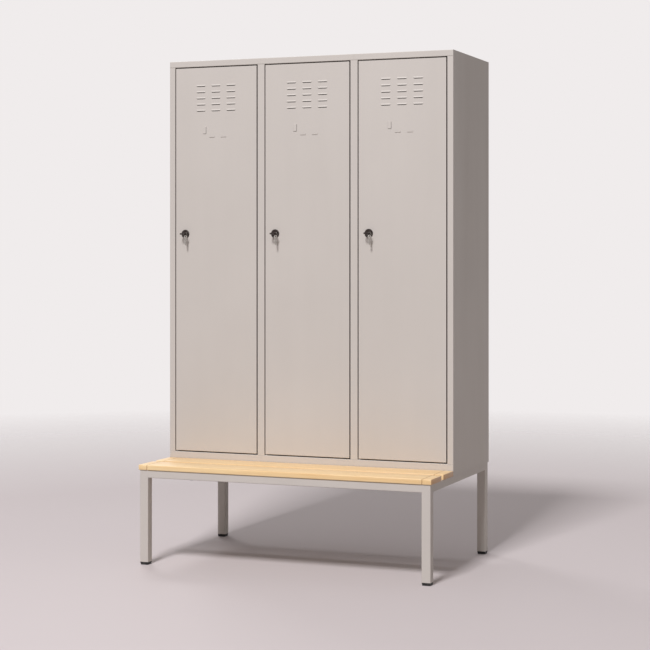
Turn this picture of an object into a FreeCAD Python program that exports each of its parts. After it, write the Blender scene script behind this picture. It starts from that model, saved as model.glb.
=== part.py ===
"""Steel cloakroom locker with three doors, standing on a bench frame with a wooden seat.

Folded sheet panels make a carcass of three bays. Each bay has a louvred pan door on concealed
pivot pins, a cam lock with its key, a hat shelf and a coat rail with two sliding hooks. The
carcass is bolted to a square-tube bench frame whose front part carries the seat boards.

Frame: +Z up, the doors face -Y, the origin is on the floor under the middle of the whole unit.
"""
import FreeCAD, Part
import math
import os
import re
import Sketcher

BAYS = 3
LOUVRE_ROWS = 5
LOUVRE_COLUMNS = 3
SPARE_KEY_TURN = -35

# Driving dimensions in millimetres: name, value, what it is
SIZES = (
    ("unit_width", 1200, "width of the carcass and of the bench"),
    ("carcass_height", 1620, "steel carcass without the bench"),
    ("carcass_depth", 480, "door front to back panel"),
    ("seat_projection", 270, "seat in front of the doors"),
    ("frame_top", 370, "floor to the top of the bench frame"),
    ("sheet", 1, "steel sheet"),
    ("fold_radius", 1, "inside radius of the folds"),
    ("outer_post_face", 24, "front face of the outer posts"),
    ("mid_post_face", 30, "front face of the posts between two doors"),
    ("top_rail_face", 24, "front face above the doors"),
    ("bottom_rail_face", 45, "front face below the doors"),
    ("rebate_depth", 21, "depth of the folded posts and of the top rail"),
    ("stop_lip", 14, "stop angle beyond its post, behind the lock side of a door"),
    ("stop_leg", 10, "stop angle inside its post"),
    ("plinth_flange", 30, "flange of the floor panel that rests on the bench frame"),
    ("seam_width", 0.8, "groove on the rails where two bays meet"),
    ("seam_depth", 0.4, "depth of that groove"),
    ("wall_hole_radius", 4, "wall fixing holes in the back panel"),
    ("wall_hole_spacing", 960, "distance between the two wall fixing holes"),
    ("wall_hole_drop", 60, "carcass top to the wall fixing holes"),
    ("door_gap", 4.5, "gap round each door"),
    ("pan_depth", 16, "depth of the folded door pan"),
    ("pan_lip", 15, "inward lip at the back of the door pan"),
    ("louvre_length", 42, "one louvre along the door"),
    ("louvre_height", 5.5, "one louvre up the door"),
    ("louvre_depth", 2.2, "how far a louvre stands out"),
    ("louvre_taper", 4, "slope of a louvre's two ends"),
    ("louvre_lip", 1.2, "height of a louvre's front edge"),
    ("louvre_gape", 2.6, "open slot under a louvre's front edge"),
    ("louvre_column_pitch", 66, "louvre columns"),
    ("louvre_row_pitch", 24.9, "louvre rows"),
    ("louvre_drop", 74, "door top to the mouth of the top louvres"),
    ("card_slot", 0.8, "slot behind the card tabs"),
    ("card_tab_hook", 2, "root of a card tab"),
    ("card_slit", 0.8, "opening round the side card tab"),
    ("card_side_offset", 57, "door centre to the outer edge of the side card tab"),
    ("card_side_width", 13, "side card tab across the door"),
    ("card_side_length", 28, "side card tab up the door"),
    ("card_side_drop", 237, "door top to the side card tab"),
    ("card_rest_length", 23, "lower card tabs along the door"),
    ("card_rest_height", 5, "lower card tabs up the door"),
    ("card_rest_pitch", 50, "distance between the lower card tabs"),
    ("card_rest_shift", 8, "door centre to the middle of the lower card tabs"),
    ("card_rest_drop", 275, "door top to the lower card tabs"),
    ("stiffener_width", 90, "hat profile inside the door"),
    ("stiffener_crown", 50, "raised part of the hat profile"),
    ("stiffener_depth", 12, "depth of the hat profile"),
    ("stiffener_length", 1000, "hat profile up the door"),
    ("stiffener_rise", 120, "door bottom to the hat profile"),
    ("pin_radius", 2.5, "hinge pin"),
    ("pin_edge", 10, "hinge axis from the door's right edge"),
    ("pin_setback", 5, "hinge axis behind the door's front face"),
    ("pin_clearance", 0.05, "running clearance of pins and lock plug"),
    ("pin_grip", 12, "hinge pin inside the door"),
    ("pin_reach", 7, "hinge pin inside its bush beyond the gap"),
    ("pin_collar", 1.3, "hinge pin collar beyond the pin"),
    ("pin_collar_height", 3, "hinge pin collar inside the door"),
    ("bush_wall", 1, "nylon hinge bush"),
    ("bush_flange", 0.8, "flange of the hinge bush beyond its body"),
    ("bush_flange_height", 1, "thickness of that flange"),
    ("bush_length", 9, "hinge bush through the sheet"),
    ("fit_gap", 0.1, "clearance of pieces that are pushed or screwed together"),
    ("buffer_radius", 5, "rubber door buffer"),
    ("buffer_stem", 2.4, "stem of the door buffer"),
    ("buffer_tail", 3, "stem behind the stop angle"),
    ("buffer_gap", 0.3, "closed door to its buffers"),
    ("buffer_inset", 110, "buffers from the ends of the door"),
    ("lock_edge", 42, "lock axis from the door's left edge"),
    ("lock_drop", 668, "door top to the lock axis"),
    ("rosette_radius", 17, "lock rosette"),
    ("rosette_height", 5, "lock rosette in front of the door"),
    ("rosette_bevel", 2.5, "bevel of the lock rosette"),
    ("barrel_radius", 9, "lock barrel"),
    ("barrel_tail", 0.5, "lock barrel behind the stop angle"),
    ("plug_radius", 6, "turning lock plug"),
    ("plug_stand", 0.5, "lock plug behind its barrel"),
    ("nut_across", 24, "lock nut across the flats"),
    ("nut_height", 4, "lock nut"),
    ("tang_size", 8, "square tang that carries the cam"),
    ("cam_length", 46, "cam from the lock axis to its end"),
    ("cam_width", 16, "lock cam"),
    ("cam_thickness", 2.5, "lock cam"),
    ("cam_screw_radius", 2, "screw that holds the cam"),
    ("cam_screw_head", 6.5, "head of that screw"),
    ("cam_screw_head_height", 3, "head of that screw"),
    ("cam_screw_depth", 8, "that screw inside the lock plug"),
    ("blade_width", 7, "key blade"),
    ("blade_thickness", 2.2, "key blade"),
    ("blade_depth", 16, "key blade inside the lock"),
    ("key_neck", 10, "key between the rosette and its bow"),
    ("bow_half_length", 13, "half the key bow"),
    ("bow_radius", 9, "half the depth of the key bow"),
    ("bow_rim", 3, "rim at the ends of the key bow"),
    ("bow_side", 4.5, "rim along the key bow"),
    ("bow_thickness", 6, "moulded key bow"),
    ("bow_edge", 1.2, "rounded edges of the key bow"),
    ("ring_radius", 7, "key ring, to the middle of its wire"),
    ("ring_wire", 0.8, "radius of the key ring's wire"),
    ("ring_clearance", 0.25, "key ring to what it hangs on"),
    ("spare_bow_radius", 8, "spare key bow"),
    ("spare_hole_radius", 2.5, "hole of the spare key"),
    ("spare_rim", 2.5, "rim above that hole"),
    ("spare_clearance", 0.6, "that rim above the ring's wire, for the key is turned"),
    ("spare_blade_length", 23, "blade of the spare key"),
    ("shelf_drop", 300, "carcass top to the hat shelf"),
    ("shelf_setback", 60, "carcass front to the hat shelf"),
    ("shelf_flange", 22, "folded edges of the hat shelf"),
    ("rail_drop", 62, "hat shelf to the middle of the coat rail"),
    ("rail_height", 30, "oval coat rail"),
    ("rail_width", 15, "oval coat rail"),
    ("rail_wall", 1.2, "oval coat rail"),
    ("socket_wall", 3, "sockets of the coat rail"),
    ("socket_length", 12, "sockets of the coat rail"),
    ("hook_clearance", 0.3, "sliding hook on its rail"),
    ("hook_collar", 3, "wall of the hook's collar"),
    ("hook_collar_length", 16, "hook's collar along the rail"),
    ("hook_thickness", 8, "hook along the rail"),
    ("hook_width", 7, "hook's arm"),
    ("hook_radius", 11, "inside of the hook's bend"),
    ("hook_drop", 48, "rail middle to the middle of the bend"),
    ("hook_tip", 9, "hook's tip above the middle of the bend"),
    ("hook_pitch", 150, "distance between the two hooks of a bay"),
    ("leg_size", 35, "square bench leg"),
    ("bench_rail_size", 30, "square bench rails"),
    ("tube_wall", 2, "walls of legs and bench rails"),
    ("tube_round", 2.5, "outer corner radius of legs and bench rails"),
    ("glide_height", 11, "plastic glide under each leg"),
    ("glide_taper", 2, "how far a glide narrows to the floor"),
    ("glide_stem", 25, "glide inside the leg"),
    ("seat_thickness", 20, "seat boards"),
    ("seat_gap", 24, "gap between the seat boards"),
    ("seat_back_gap", 1, "gap between seat and carcass"),
    ("seat_edge", 3, "rounded upper edges of the seat boards"),
    ("seat_low_edge", 1.5, "rounded lower edges of the seat boards"),
    ("seat_overhang", 4, "seat beyond the legs at the front and at both ends"),
    ("cleat_seam", 1.6, "open seam between a board and its end cleats"),
    ("cleat_width", 35, "cleat at each end of the seat"),
    ("screw_radius", 2.5, "seat screws"),
    ("screw_head_radius", 4.5, "heads of the seat screws"),
    ("screw_head_height", 3, "heads of the seat screws"),
    ("screw_bite", 14, "seat screws inside the wood"),
    ("screw_pitch", 380, "seat screws from the middle of the boards"),
    ("bolt_radius", 3, "bolts between carcass and bench"),
    ("bolt_head_across", 10, "bolt heads and nuts across the flats"),
    ("bolt_head_height", 4, "bolt heads and nuts"),
    ("bolt_pitch", 900, "distance between the bolts"),
)

# Sizes that follow from the driving ones
DERIVED = (
    ("door_width", f"(unit_width - 2 * outer_post_face - {BAYS - 1} * mid_post_face"
                   f" - {2 * BAYS} * door_gap) / {BAYS}"),
    ("door_height", "carcass_height - top_rail_face - bottom_rail_face - 2 * door_gap"),
    ("bay_pitch", "door_width + 2 * door_gap + mid_post_face"),
    ("total_depth", "carcass_depth + seat_projection"),
    ("left_side", "-unit_width / 2"),
    ("bench_front", "-total_depth / 2"),
    ("carcass_front", "bench_front + seat_projection"),
    ("frame_left", "left_side + seat_overhang"),
    ("frame_front", "bench_front + seat_overhang"),
    ("inner_depth", "carcass_depth - sheet"),
    ("fold_outside", "fold_radius + sheet"),
    ("tube_inner_round", "tube_round / 2"),
    ("post_top", "carcass_height - top_rail_face"),
    ("wall_top", "carcass_height - sheet"),
    ("first_door_left", "outer_post_face + door_gap"),
    ("door_bottom", "bottom_rail_face + door_gap"),
    ("hinge_x", "door_width - pin_edge"),
    ("bush_bore", "pin_radius + pin_clearance"),
    ("bush_radius", "bush_bore + bush_wall"),
    ("bush_flange_radius", "bush_radius + bush_flange"),
    ("collar_radius", "pin_radius + pin_collar"),
    ("shoulder_height", "door_gap - bush_flange_height - pin_clearance"),
    ("lock_z", "door_height - lock_drop"),
    ("stop_back", "rebate_depth + sheet"),
    ("barrel_end", "stop_back + barrel_tail"),
    ("cam_front", "barrel_end + plug_stand"),
    ("cam_back", "cam_front + cam_thickness"),
    ("plug_bore", "plug_radius + pin_clearance"),
    ("bow_y", "-(rosette_height + key_neck + bow_radius)"),
    ("rim_x", "bow_half_length - bow_rim / 2"),
    ("ring_lift", "sqrt((bow_rim / 2) ^ 2 + (bow_thickness / 2) ^ 2) + ring_clearance"),
    ("ring_z", "ring_lift - (ring_radius - ring_wire)"),
    ("spare_hole_z", "ring_z - ring_radius + ring_wire + spare_clearance - spare_hole_radius"),
    ("spare_bow_z", "spare_hole_z + spare_hole_radius + spare_rim - spare_bow_radius"),
    ("shelf_z", "carcass_height - shelf_drop"),
    ("coat_rail_y", "(shelf_setback + inner_depth) / 2"),
    ("coat_rail_z", "shelf_z - rail_drop"),
    ("rail_end_radius", "rail_width / 2"),
    ("rail_centre", "(rail_height - rail_width) / 2"),
    ("hook_bore", "rail_end_radius + hook_clearance"),
    ("hook_shell", "hook_bore + hook_collar"),
    ("hook_bend_y", "hook_radius + hook_width / 2"),
    ("hook_outer", "hook_radius + hook_width"),
    ("bench_rail_bottom", "frame_top - bench_rail_size"),
    ("mid_rail_front", "carcass_front - bench_rail_size / 2"),
    ("board_width", "(seat_projection - seat_gap - seat_back_gap) / 2"),
    ("rear_board_front", "bench_front + board_width + seat_gap"),
    ("rear_bolt_y", "-bench_front - bench_rail_size / 2"),
    ("front_bolt_y", "carcass_front + bench_rail_size / 4"),
    ("rear_screw_y", "carcass_front - bench_rail_size / 4"),
    ("front_screw_y", "frame_front + bench_rail_size / 2"),
    ("side_screw_x", "frame_left + bench_rail_size / 2"),
    ("front_cleat_screw_y", "bench_front + (seat_overhang + leg_size + board_width) / 2"),
    ("rear_cleat_screw_y", "rear_board_front + board_width / 2"),
)

doc = FreeCAD.newDocument("LockerBench")


def make_sheets():
    """Put the driving sizes in one sheet and what follows from them in another."""
    sizes = doc.addObject("Spreadsheet::Sheet", "Sizes")
    for row, (alias, number, meaning) in enumerate(SIZES, start=1):
        sizes.set(f"A{row}", meaning)
        sizes.set(f"B{row}", str(number))
        sizes.setAlias(f"B{row}", alias)
    doc.recompute()
    derived = doc.addObject("Spreadsheet::Sheet", "Derived")
    own_names = {alias for alias, formula in DERIVED}
    for row, (alias, formula) in enumerate(DERIVED, start=1):
        derived.set(f"A{row}", alias)
        derived.set(f"B{row}", "=" + qualified(formula, own_names))
        derived.setAlias(f"B{row}", alias)
    doc.recompute()
    return derived


def qualified(text, local_names=()):
    """Spell out which sheet each named size of an expression is in."""
    def owner(match):
        word = match.group()
        if word in local_names:
            return word
        if word in DRIVING_NAMES:
            return "Sizes." + word
        if word in DERIVED_NAMES:
            return "Derived." + word
        return word
    return re.sub(r"[a-z][a-z_]*", owner, text)


DRIVING_NAMES = {alias for alias, number, meaning in SIZES}
DERIVED_NAMES = {alias for alias, formula in DERIVED}
DERIVED_SHEET = make_sheets()


def amount(text):
    """The number that an expression gives with the sizes as they are now."""
    return float(DERIVED_SHEET.evalExpression(qualified(text)))


def bind(target, path, text):
    """Tie one property or constraint to an expression of the named sizes."""
    target.setExpression(path, qualified(text))


def place(piece, x="0", y="0", z="0"):
    """Tie a piece's place to three expressions."""
    bind(piece, "Placement.Base.x", x)
    bind(piece, "Placement.Base.y", y)
    bind(piece, "Placement.Base.z", z)
    return piece


# Outlines that a drawing can hold
def corners(*points):
    """A closed outline of level and upright lines; a point's third value rounds its corner."""
    return ("corners", points)


def rectangle(left, low, right, high, *rounding):
    return corners((left, low, *rounding), (right, low, *rounding), (right, high, *rounding),
                   (left, high, *rounding))


def circle(x, y, radius):
    return ("circle", x, y, radius)


def oval(x, y, half_x, half_y, radius):
    """A slot outline: half_x and half_y are from its middle to the middles of its round ends."""
    return ("oval", x, y, half_x, half_y, radius)


def hexagon(x, y, across):
    half = f"({across}) / 2"
    corner = f"({across}) / sqrt(3)"
    points = []
    for across_part, up_part in ((1, 0), (0.5, 1), (-0.5, 1), (-1, 0), (-0.5, -1), (0.5, -1)):
        points.append((f"{x} + {across_part} * {corner}", f"{y} + {up_part} * {half}"))
    return corners(*points)


def pin_point(geometry, point, x, y, rules):
    """Add to rules the two constraints that hold one point of a drawing at two expressions."""
    for kind, axis, text in (("DistanceX", -2, x), ("DistanceY", -1, y)):
        if text == "0":
            rules.append((Sketcher.Constraint("PointOnObject", geometry, point, axis), None))
        else:
            rule = Sketcher.Constraint(kind, -1, 1, geometry, point, amount(text))
            rules.append((rule, text))


def draw_corners(sketch, points):
    """Lines from corner to corner, with a tangent arc at each corner that has a radius."""
    first = len(sketch.Geometry)
    count = len(points)
    spots = [FreeCAD.Vector(amount(x), amount(y), 0) for x, y, *rounding in points]
    ways = [(spots[(i + 1) % count] - spots[i]).normalize() for i in range(count)]
    starts = list(spots)
    ends = list(spots)
    arcs = {}
    rules = []
    for i, (x, y, *rounding) in enumerate(points):
        arriving = ways[i - 1]
        leaving = ways[i]
        if not rounding:
            before = first + (i - 1) % count
            rules.append((Sketcher.Constraint("Coincident", before, 2, first + i, 1), None))
            pin_point(first + i, 1, x, y, rules)
            continue
        radius = amount(rounding[0])
        ends[i - 1] = spots[i] - arriving * radius
        starts[i] = spots[i] + leaving * radius
        arcs[i] = Part.Circle(ends[i - 1] + leaving * radius, FreeCAD.Vector(0, 0, 1), radius)
    lines = []
    for i in range(count):
        finish = ends[i] if (i + 1) % count in arcs else spots[(i + 1) % count]
        lines.append(Part.LineSegment(starts[i], finish))
    sketch.addGeometry(lines)
    for i, whole in arcs.items():
        x, y, radius = points[i]
        before = first + (i - 1) % count
        leftward = ways[i - 1].cross(ways[i]).z > 0
        from_point, to_point = (ends[i - 1], starts[i]) if leftward else (starts[i], ends[i - 1])
        angles = [math.atan2(point.y - whole.Center.y, point.x - whole.Center.x)
                  for point in (from_point, to_point)]
        arc = sketch.addGeometry(Part.ArcOfCircle(whole, *angles))
        arrival, departure = (1, 2) if leftward else (2, 1)
        inward = ways[i] - ways[i - 1]
        middle_x = f"{x} + {round(inward.x)} * ({radius})"
        middle_y = f"{y} + {round(inward.y)} * ({radius})"
        rules += [(Sketcher.Constraint("Tangent", before, 2, arc, arrival), None),
                  (Sketcher.Constraint("Tangent", arc, departure, first + i, 1), None),
                  (Sketcher.Constraint("Radius", arc, amount(radius)), radius)]
        pin_point(arc, 3, middle_x, middle_y, rules)
    return rules


def draw_circle(sketch, x, y, radius):
    middle = FreeCAD.Vector(amount(x), amount(y), 0)
    geometry = sketch.addGeometry(Part.Circle(middle, FreeCAD.Vector(0, 0, 1), amount(radius)))
    rules = []
    pin_point(geometry, 3, x, y, rules)
    rules.append((Sketcher.Constraint("Radius", geometry, amount(radius)), radius))
    return rules


def draw_oval(sketch, x, y, half_x, half_y, radius):
    """Two half circles joined by two lines, lying along the drawing's x or y."""
    upward = half_x == "0"
    first_end = (x, f"{y} + ({half_y})") if upward else (f"{x} + ({half_x})", y)
    second_end = (x, f"{y} - ({half_y})") if upward else (f"{x} - ({half_x})", y)
    reach = amount(radius)
    tilt = 0.0 if upward else -90.0
    ends = []
    for (end_x, end_y), start in ((first_end, tilt), (second_end, tilt + 180.0)):
        middle = FreeCAD.Vector(amount(end_x), amount(end_y), 0)
        whole = Part.Circle(middle, FreeCAD.Vector(0, 0, 1), reach)
        ends.append(Part.ArcOfCircle(whole, math.radians(start), math.radians(start + 180.0)))
    sides = [Part.LineSegment(ends[0].EndPoint, ends[1].StartPoint),
             Part.LineSegment(ends[1].EndPoint, ends[0].StartPoint)]
    first = len(sketch.Geometry)
    sketch.addGeometry(ends + sides)
    arc_a, arc_b, line_a, line_b = range(first, first + 4)
    rules = [(Sketcher.Constraint("Tangent", arc_a, 2, line_a, 1), None),
             (Sketcher.Constraint("Tangent", line_a, 2, arc_b, 1), None),
             (Sketcher.Constraint("Tangent", arc_b, 2, line_b, 1), None),
             (Sketcher.Constraint("Tangent", line_b, 2, arc_a, 1), None)]
    pin_point(arc_a, 3, *first_end, rules)
    pin_point(arc_b, 3, *second_end, rules)
    rules.append((Sketcher.Constraint("Radius", arc_a, reach), radius))
    return rules


DRAW = {"corners": draw_corners, "circle": draw_circle, "oval": draw_oval}


def drawing(body, plane, outlines, level):
    """A sketch on one of the body's origin planes, lifted to a level along X, Y or Z."""
    role = plane + "_Plane"
    support = [item for item in body.Origin.OriginFeatures if item.Role == role][0]
    sketch = body.newObject("Sketcher::SketchObject", body.Name + "_drawing")
    sketch.AttachmentSupport = [(support, "")]
    sketch.MapMode = "FlatFace"
    sign = "-" if plane == "XZ" else ""
    bind(sketch, "AttachmentOffset.Base.z", f"{sign}({level})")
    for kind, *details in outlines:
        rules = DRAW[kind](sketch, *details)
        numbers = sketch.addConstraint([rule for rule, text in rules])
        for number, (rule, text) in zip(numbers, rules):
            if text is not None:
                bind(sketch, f"Constraints[{number}]", text)
    return sketch


def new_body(name):
    return doc.addObject("PartDesign::Body", name)


def pad(body, plane, outlines, start, end):
    """Add material between two levels along the plane's own axis."""
    sketch = drawing(body, plane, outlines, start)
    feature = body.newObject("PartDesign::Pad", body.Name + "_pad")
    feature.Profile = sketch
    feature.Reversed = plane == "XZ"
    bind(feature, "Length", f"({end}) - ({start})")
    return feature


def cut(body, plane, outlines, start, end):
    """Take material away between two levels along the plane's own axis."""
    sketch = drawing(body, plane, outlines, start)
    feature = body.newObject("PartDesign::Pocket", body.Name + "_cut")
    feature.Profile = sketch
    feature.Reversed = plane != "XZ"
    bind(feature, "Length", f"({end}) - ({start})")
    return feature


def turn(body, plane, *points):
    """Revolve an outline of radius and height about the drawing's upright axis."""
    sketch = drawing(body, plane, [corners(*points)], "0")
    feature = body.newObject("PartDesign::Revolution", body.Name + "_turned")
    feature.Profile = sketch
    feature.ReferenceAxis = (sketch, ["V_Axis"])
    feature.Angle = 360
    return feature


def loft(body, kind, plane, first, first_level, second, second_level):
    """Blend one outline into another, adding or taking away material."""
    feature = body.newObject("PartDesign::" + kind, body.Name + "_loft")
    feature.Profile = drawing(body, plane, [first], first_level)
    feature.Sections = [drawing(body, plane, [second], second_level)]
    feature.Ruled = True
    return feature


def round_edges(body, base, radius, chosen):
    """Round those edges of a feature whose box, in the body's own frame, passes a test."""
    doc.recompute()
    own_shape = base.Shape.copy()
    own_shape.Placement = FreeCAD.Placement()
    names = [f"Edge{number}" for number, edge in enumerate(own_shape.Edges, start=1)
             if chosen(edge.BoundBox)]
    feature = body.newObject("PartDesign::Fillet", body.Name + "_rounded")
    feature.Base = (base, names)
    bind(feature, "Radius", radius)
    body.Tip = feature
    return feature


def group(name, members):
    """Pieces that share one node."""
    node = doc.addObject("Part::Compound", name)
    node.Links = members
    return node


nodes = {}


def keep(name, piece):
    """Hand a finished piece in under its node name."""
    piece.Label = name
    nodes[name] = piece
    return piece


def keep_in_bays(name, make_piece):
    """Make a piece of the first bay and repeat it in every bay."""
    first = keep(f"{name}_1", make_piece(f"{name}_1"))
    for bay in range(1, BAYS):
        copy = group(f"{name}_{bay + 1}", [first])
        bind(copy, "Placement.Base.x", f"{bay} * bay_pitch")
        keep(f"{name}_{bay + 1}", copy)


def in_carcass(piece):
    """Carcass pieces are drawn from the carcass's front lower left corner."""
    return place(piece, "left_side", "carcass_front", "frame_top")


def in_door(piece, lift="0"):
    """Door pieces are drawn from the first door's front lower left corner."""
    return place(piece, "left_side + first_door_left", "carcass_front",
                 f"frame_top + door_bottom + {lift}")


def in_lock(piece):
    """Lock pieces are drawn from where the lock axis meets the first door's front."""
    return place(piece, "left_side + first_door_left + lock_edge", "carcass_front",
                 "frame_top + door_bottom + lock_z")


# Carcass
def lip_centre(post_edge):
    return f"{post_edge} + (door_gap + stop_lip) / 2"


BUFFER_LEVELS = ("door_bottom + buffer_inset", "door_bottom + door_height - buffer_inset")


def side_panel(name, wall, inward):
    """Outer wall whose front edge is folded into a post; the rails pass in front of its wall."""
    body = in_carcass(new_body(name))
    inner = f"{wall} {inward} sheet"
    face = f"{wall} {inward} outer_post_face"
    fold = f"{wall} {inward} (outer_post_face - sheet)"
    profile = corners((wall, "0", "fold_outside"), (face, "0", "fold_outside"), (face, "rebate_depth"),
                      (fold, "rebate_depth"), (fold, "sheet", "fold_radius"),
                      (inner, "sheet", "fold_radius"), (inner, "inner_depth"), (wall, "inner_depth"))
    pad(body, "XY", [profile], "0", "wall_top")
    beyond = f"{wall} {inward} (outer_post_face + sheet)"
    outside = f"{wall} {inward} (-sheet)"
    notch = corners((outside, "-sheet"), (beyond, "-sheet"), (beyond, "stop_back"), (inner, "stop_back"),
                    (inner, "fold_outside"), (outside, "fold_outside"))
    cut(body, "XY", [notch], "0", "bottom_rail_face")
    cut(body, "XY", [notch], "post_top", "wall_top")
    return body


def left_side_panel(name):
    return side_panel(name, "0", "+")


def right_side_panel(name):
    return side_panel(name, "unit_width", "-")


def mid_post_left(bay):
    """Left edge of the post between a bay and the next one, the first bay being 0."""
    return f"first_door_left + door_width + door_gap + {bay} * bay_pitch"


def partition(name, bay):
    body = in_carcass(new_body(name))
    wall = mid_post_left(bay)
    edge = f"{wall} + mid_post_face"
    profile = corners((wall, "0", "fold_outside"), (edge, "0", "fold_outside"), (edge, "rebate_depth"),
                      (f"{edge} - sheet", "rebate_depth"), (f"{edge} - sheet", "sheet", "fold_radius"),
                      (f"{wall} + sheet", "sheet", "fold_radius"), (f"{wall} + sheet", "inner_depth"),
                      (wall, "inner_depth"))
    pad(body, "XY", [profile], "bottom_rail_face", "wall_top")
    rail_notch = rectangle(f"{wall} - sheet", "0", f"{edge} + sheet", "rebate_depth")
    cut(body, "XY", [rail_notch], "post_top", "wall_top")
    return body


LOCK_POSTS = ["outer_post_face"] + [f"{mid_post_left(bay)} + mid_post_face" for bay in range(BAYS - 1)]


def door_stops(name):
    """Angles welded inside the posts, which the lock side of each door closes against."""
    stops = []
    for edge in LOCK_POSTS:
        stop = in_carcass(new_body(name + "_angle"))
        inside = f"{edge} - 2 * sheet"
        fold = f"{edge} - sheet"
        root = "rebate_depth - stop_leg"
        profile = corners((inside, root), (fold, root), (fold, "rebate_depth"),
                          (f"{edge} + stop_lip", "rebate_depth"), (f"{edge} + stop_lip", "stop_back"),
                          (inside, "stop_back", "fold_radius"))
        pad(stop, "XY", [profile], "bottom_rail_face", "post_top")
        holes = [circle(lip_centre(edge), level, "buffer_stem + fit_gap") for level in BUFFER_LEVELS]
        cut(stop, "XZ", holes, "rebate_depth - sheet", "stop_back + sheet")
        stops.append(stop)
    return group(name, stops)


def groove_rail(body, low, high):
    """Fine grooves in a rail's face where two bays meet."""
    seams = []
    for bay in range(BAYS - 1):
        middle = f"{mid_post_left(bay)} + mid_post_face / 2"
        seams.append(rectangle(f"{middle} - seam_width / 2", low, f"{middle} + seam_width / 2", high))
    cut(body, "XZ", seams, "0", "seam_depth")


def hinge_places():
    """Hinge axes along the carcass, one for each bay."""
    return [f"first_door_left + hinge_x + {bay} * bay_pitch" for bay in range(BAYS)]


def pierce_for_bushes(body, start, end):
    holes = [circle(x, "pin_setback", "bush_radius + fit_gap") for x in hinge_places()]
    cut(body, "XY", holes, start, end)


def round_rail_ends(body, start, end):
    """Round the upright edges at both ends of a rail, as on the posts that they meet."""
    for edge, inward in (("0", "+"), ("unit_width", "-")):
        outside = f"{edge} {inward} (-sheet)"
        past_fold = f"{edge} {inward} (fold_outside + sheet)"
        spandrel = corners((outside, "-sheet"), (past_fold, "-sheet"), (past_fold, "0"),
                           (edge, "0", "fold_outside"), (edge, "fold_outside + sheet"),
                           (outside, "fold_outside + sheet"))
        cut(body, "XY", [spandrel], start, end)


def top_panel(name):
    """Top sheet, front rail and the return under it; the rail's ends cover the side walls."""
    body = in_carcass(new_body(name))
    top = "carcass_height"
    rail = corners(("0", "post_top", "fold_outside"), ("rebate_depth", "post_top"),
                   ("rebate_depth", "post_top + sheet"), ("sheet", "post_top + sheet", "fold_radius"),
                   ("sheet", "wall_top", "fold_radius"), ("carcass_depth", "wall_top"),
                   ("carcass_depth", top), ("0", top, "fold_outside"))
    pad(body, "YZ", [rail], "sheet", "unit_width - sheet")
    cap = corners(("0", "post_top"), ("fold_outside", "post_top"), ("fold_outside", "wall_top"),
                  ("carcass_depth", "wall_top"), ("carcass_depth", top), ("0", top, "fold_outside"))
    pad(body, "YZ", [cap], "0", "sheet")
    pad(body, "YZ", [cap], "unit_width - sheet", "unit_width")
    round_rail_ends(body, "post_top - sheet", "carcass_height + sheet")
    groove_rail(body, "post_top", "carcass_height")
    pierce_for_bushes(body, "post_top - sheet", "post_top + 2 * sheet")
    return body


def bottom_panel(name):
    """Floor tray with a front rail, and flanges front and back that rest on the bench frame."""
    body = in_carcass(new_body(name))
    inside = "inner_depth - sheet"
    floor = "bottom_rail_face - sheet"
    tray = corners(("0", "0", "fold_outside"), ("plinth_flange", "0"), ("plinth_flange", "sheet"),
                   ("sheet", "sheet", "fold_radius"), ("sheet", floor, "fold_radius"),
                   (inside, floor, "fold_radius"), (inside, "sheet", "fold_radius"),
                   ("inner_depth - plinth_flange", "sheet"), ("inner_depth - plinth_flange", "0"),
                   ("inner_depth", "0", "fold_outside"), ("inner_depth", "bottom_rail_face"),
                   ("0", "bottom_rail_face", "fold_outside"))
    pad(body, "YZ", [tray], "sheet", "unit_width - sheet")
    end_cap = rectangle("0", "0", "fold_outside", "bottom_rail_face")
    pad(body, "YZ", [end_cap], "0", "sheet")
    pad(body, "YZ", [end_cap], "unit_width - sheet", "unit_width")
    round_rail_ends(body, "-sheet", "bottom_rail_face + sheet")
    groove_rail(body, "0", "bottom_rail_face")
    pierce_for_bushes(body, "bottom_rail_face - 2 * sheet", "bottom_rail_face + sheet")
    holes = []
    for side in ("-", "+"):
        x = f"unit_width / 2 {side} bolt_pitch / 2"
        for y in ("front_bolt_y - carcass_front", "rear_bolt_y - carcass_front"):
            holes.append(circle(x, y, "bolt_radius + fit_gap"))
    cut(body, "XY", holes, "-sheet", "2 * sheet")
    return body


def back_panel(name):
    body = in_carcass(new_body(name))
    pad(body, "XZ", [rectangle("0", "0", "unit_width", "wall_top")], "inner_depth", "carcass_depth")
    holes = [circle(f"unit_width / 2 {side} wall_hole_spacing / 2", "carcass_height - wall_hole_drop",
                    "wall_hole_radius") for side in ("-", "+")]
    cut(body, "XZ", holes, "inner_depth - sheet", "carcass_depth + sheet")
    return body


def bay_walls(bay):
    """Inner faces of the two walls of a bay, from the carcass's left side."""
    left = "sheet" if bay == 0 else f"{mid_post_left(bay - 1)} + sheet"
    right = "unit_width - sheet" if bay == BAYS - 1 else mid_post_left(bay)
    return left, right


def hat_shelf(name, bay):
    body = in_carcass(new_body(name))
    left, right = bay_walls(bay)
    low = "shelf_z - shelf_flange"
    blank = pad(body, "XY", [rectangle(left, "shelf_setback", right, "inner_depth")], low, "shelf_z")
    round_edges(body, blank, "fold_outside", lambda box: box.ZMin > amount("shelf_z") - 0.5)
    hollow = rectangle(f"{left} + sheet", "shelf_setback + sheet", f"{right} - sheet",
                       "inner_depth - sheet", "fold_radius")
    cut(body, "XY", [hollow], low, "shelf_z - sheet")
    return body


def rail_oval(grow):
    """The coat rail's section, grown by a wall or a clearance."""
    return oval("coat_rail_y", "coat_rail_z", "0", "rail_centre", f"rail_end_radius + {grow}")


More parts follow.
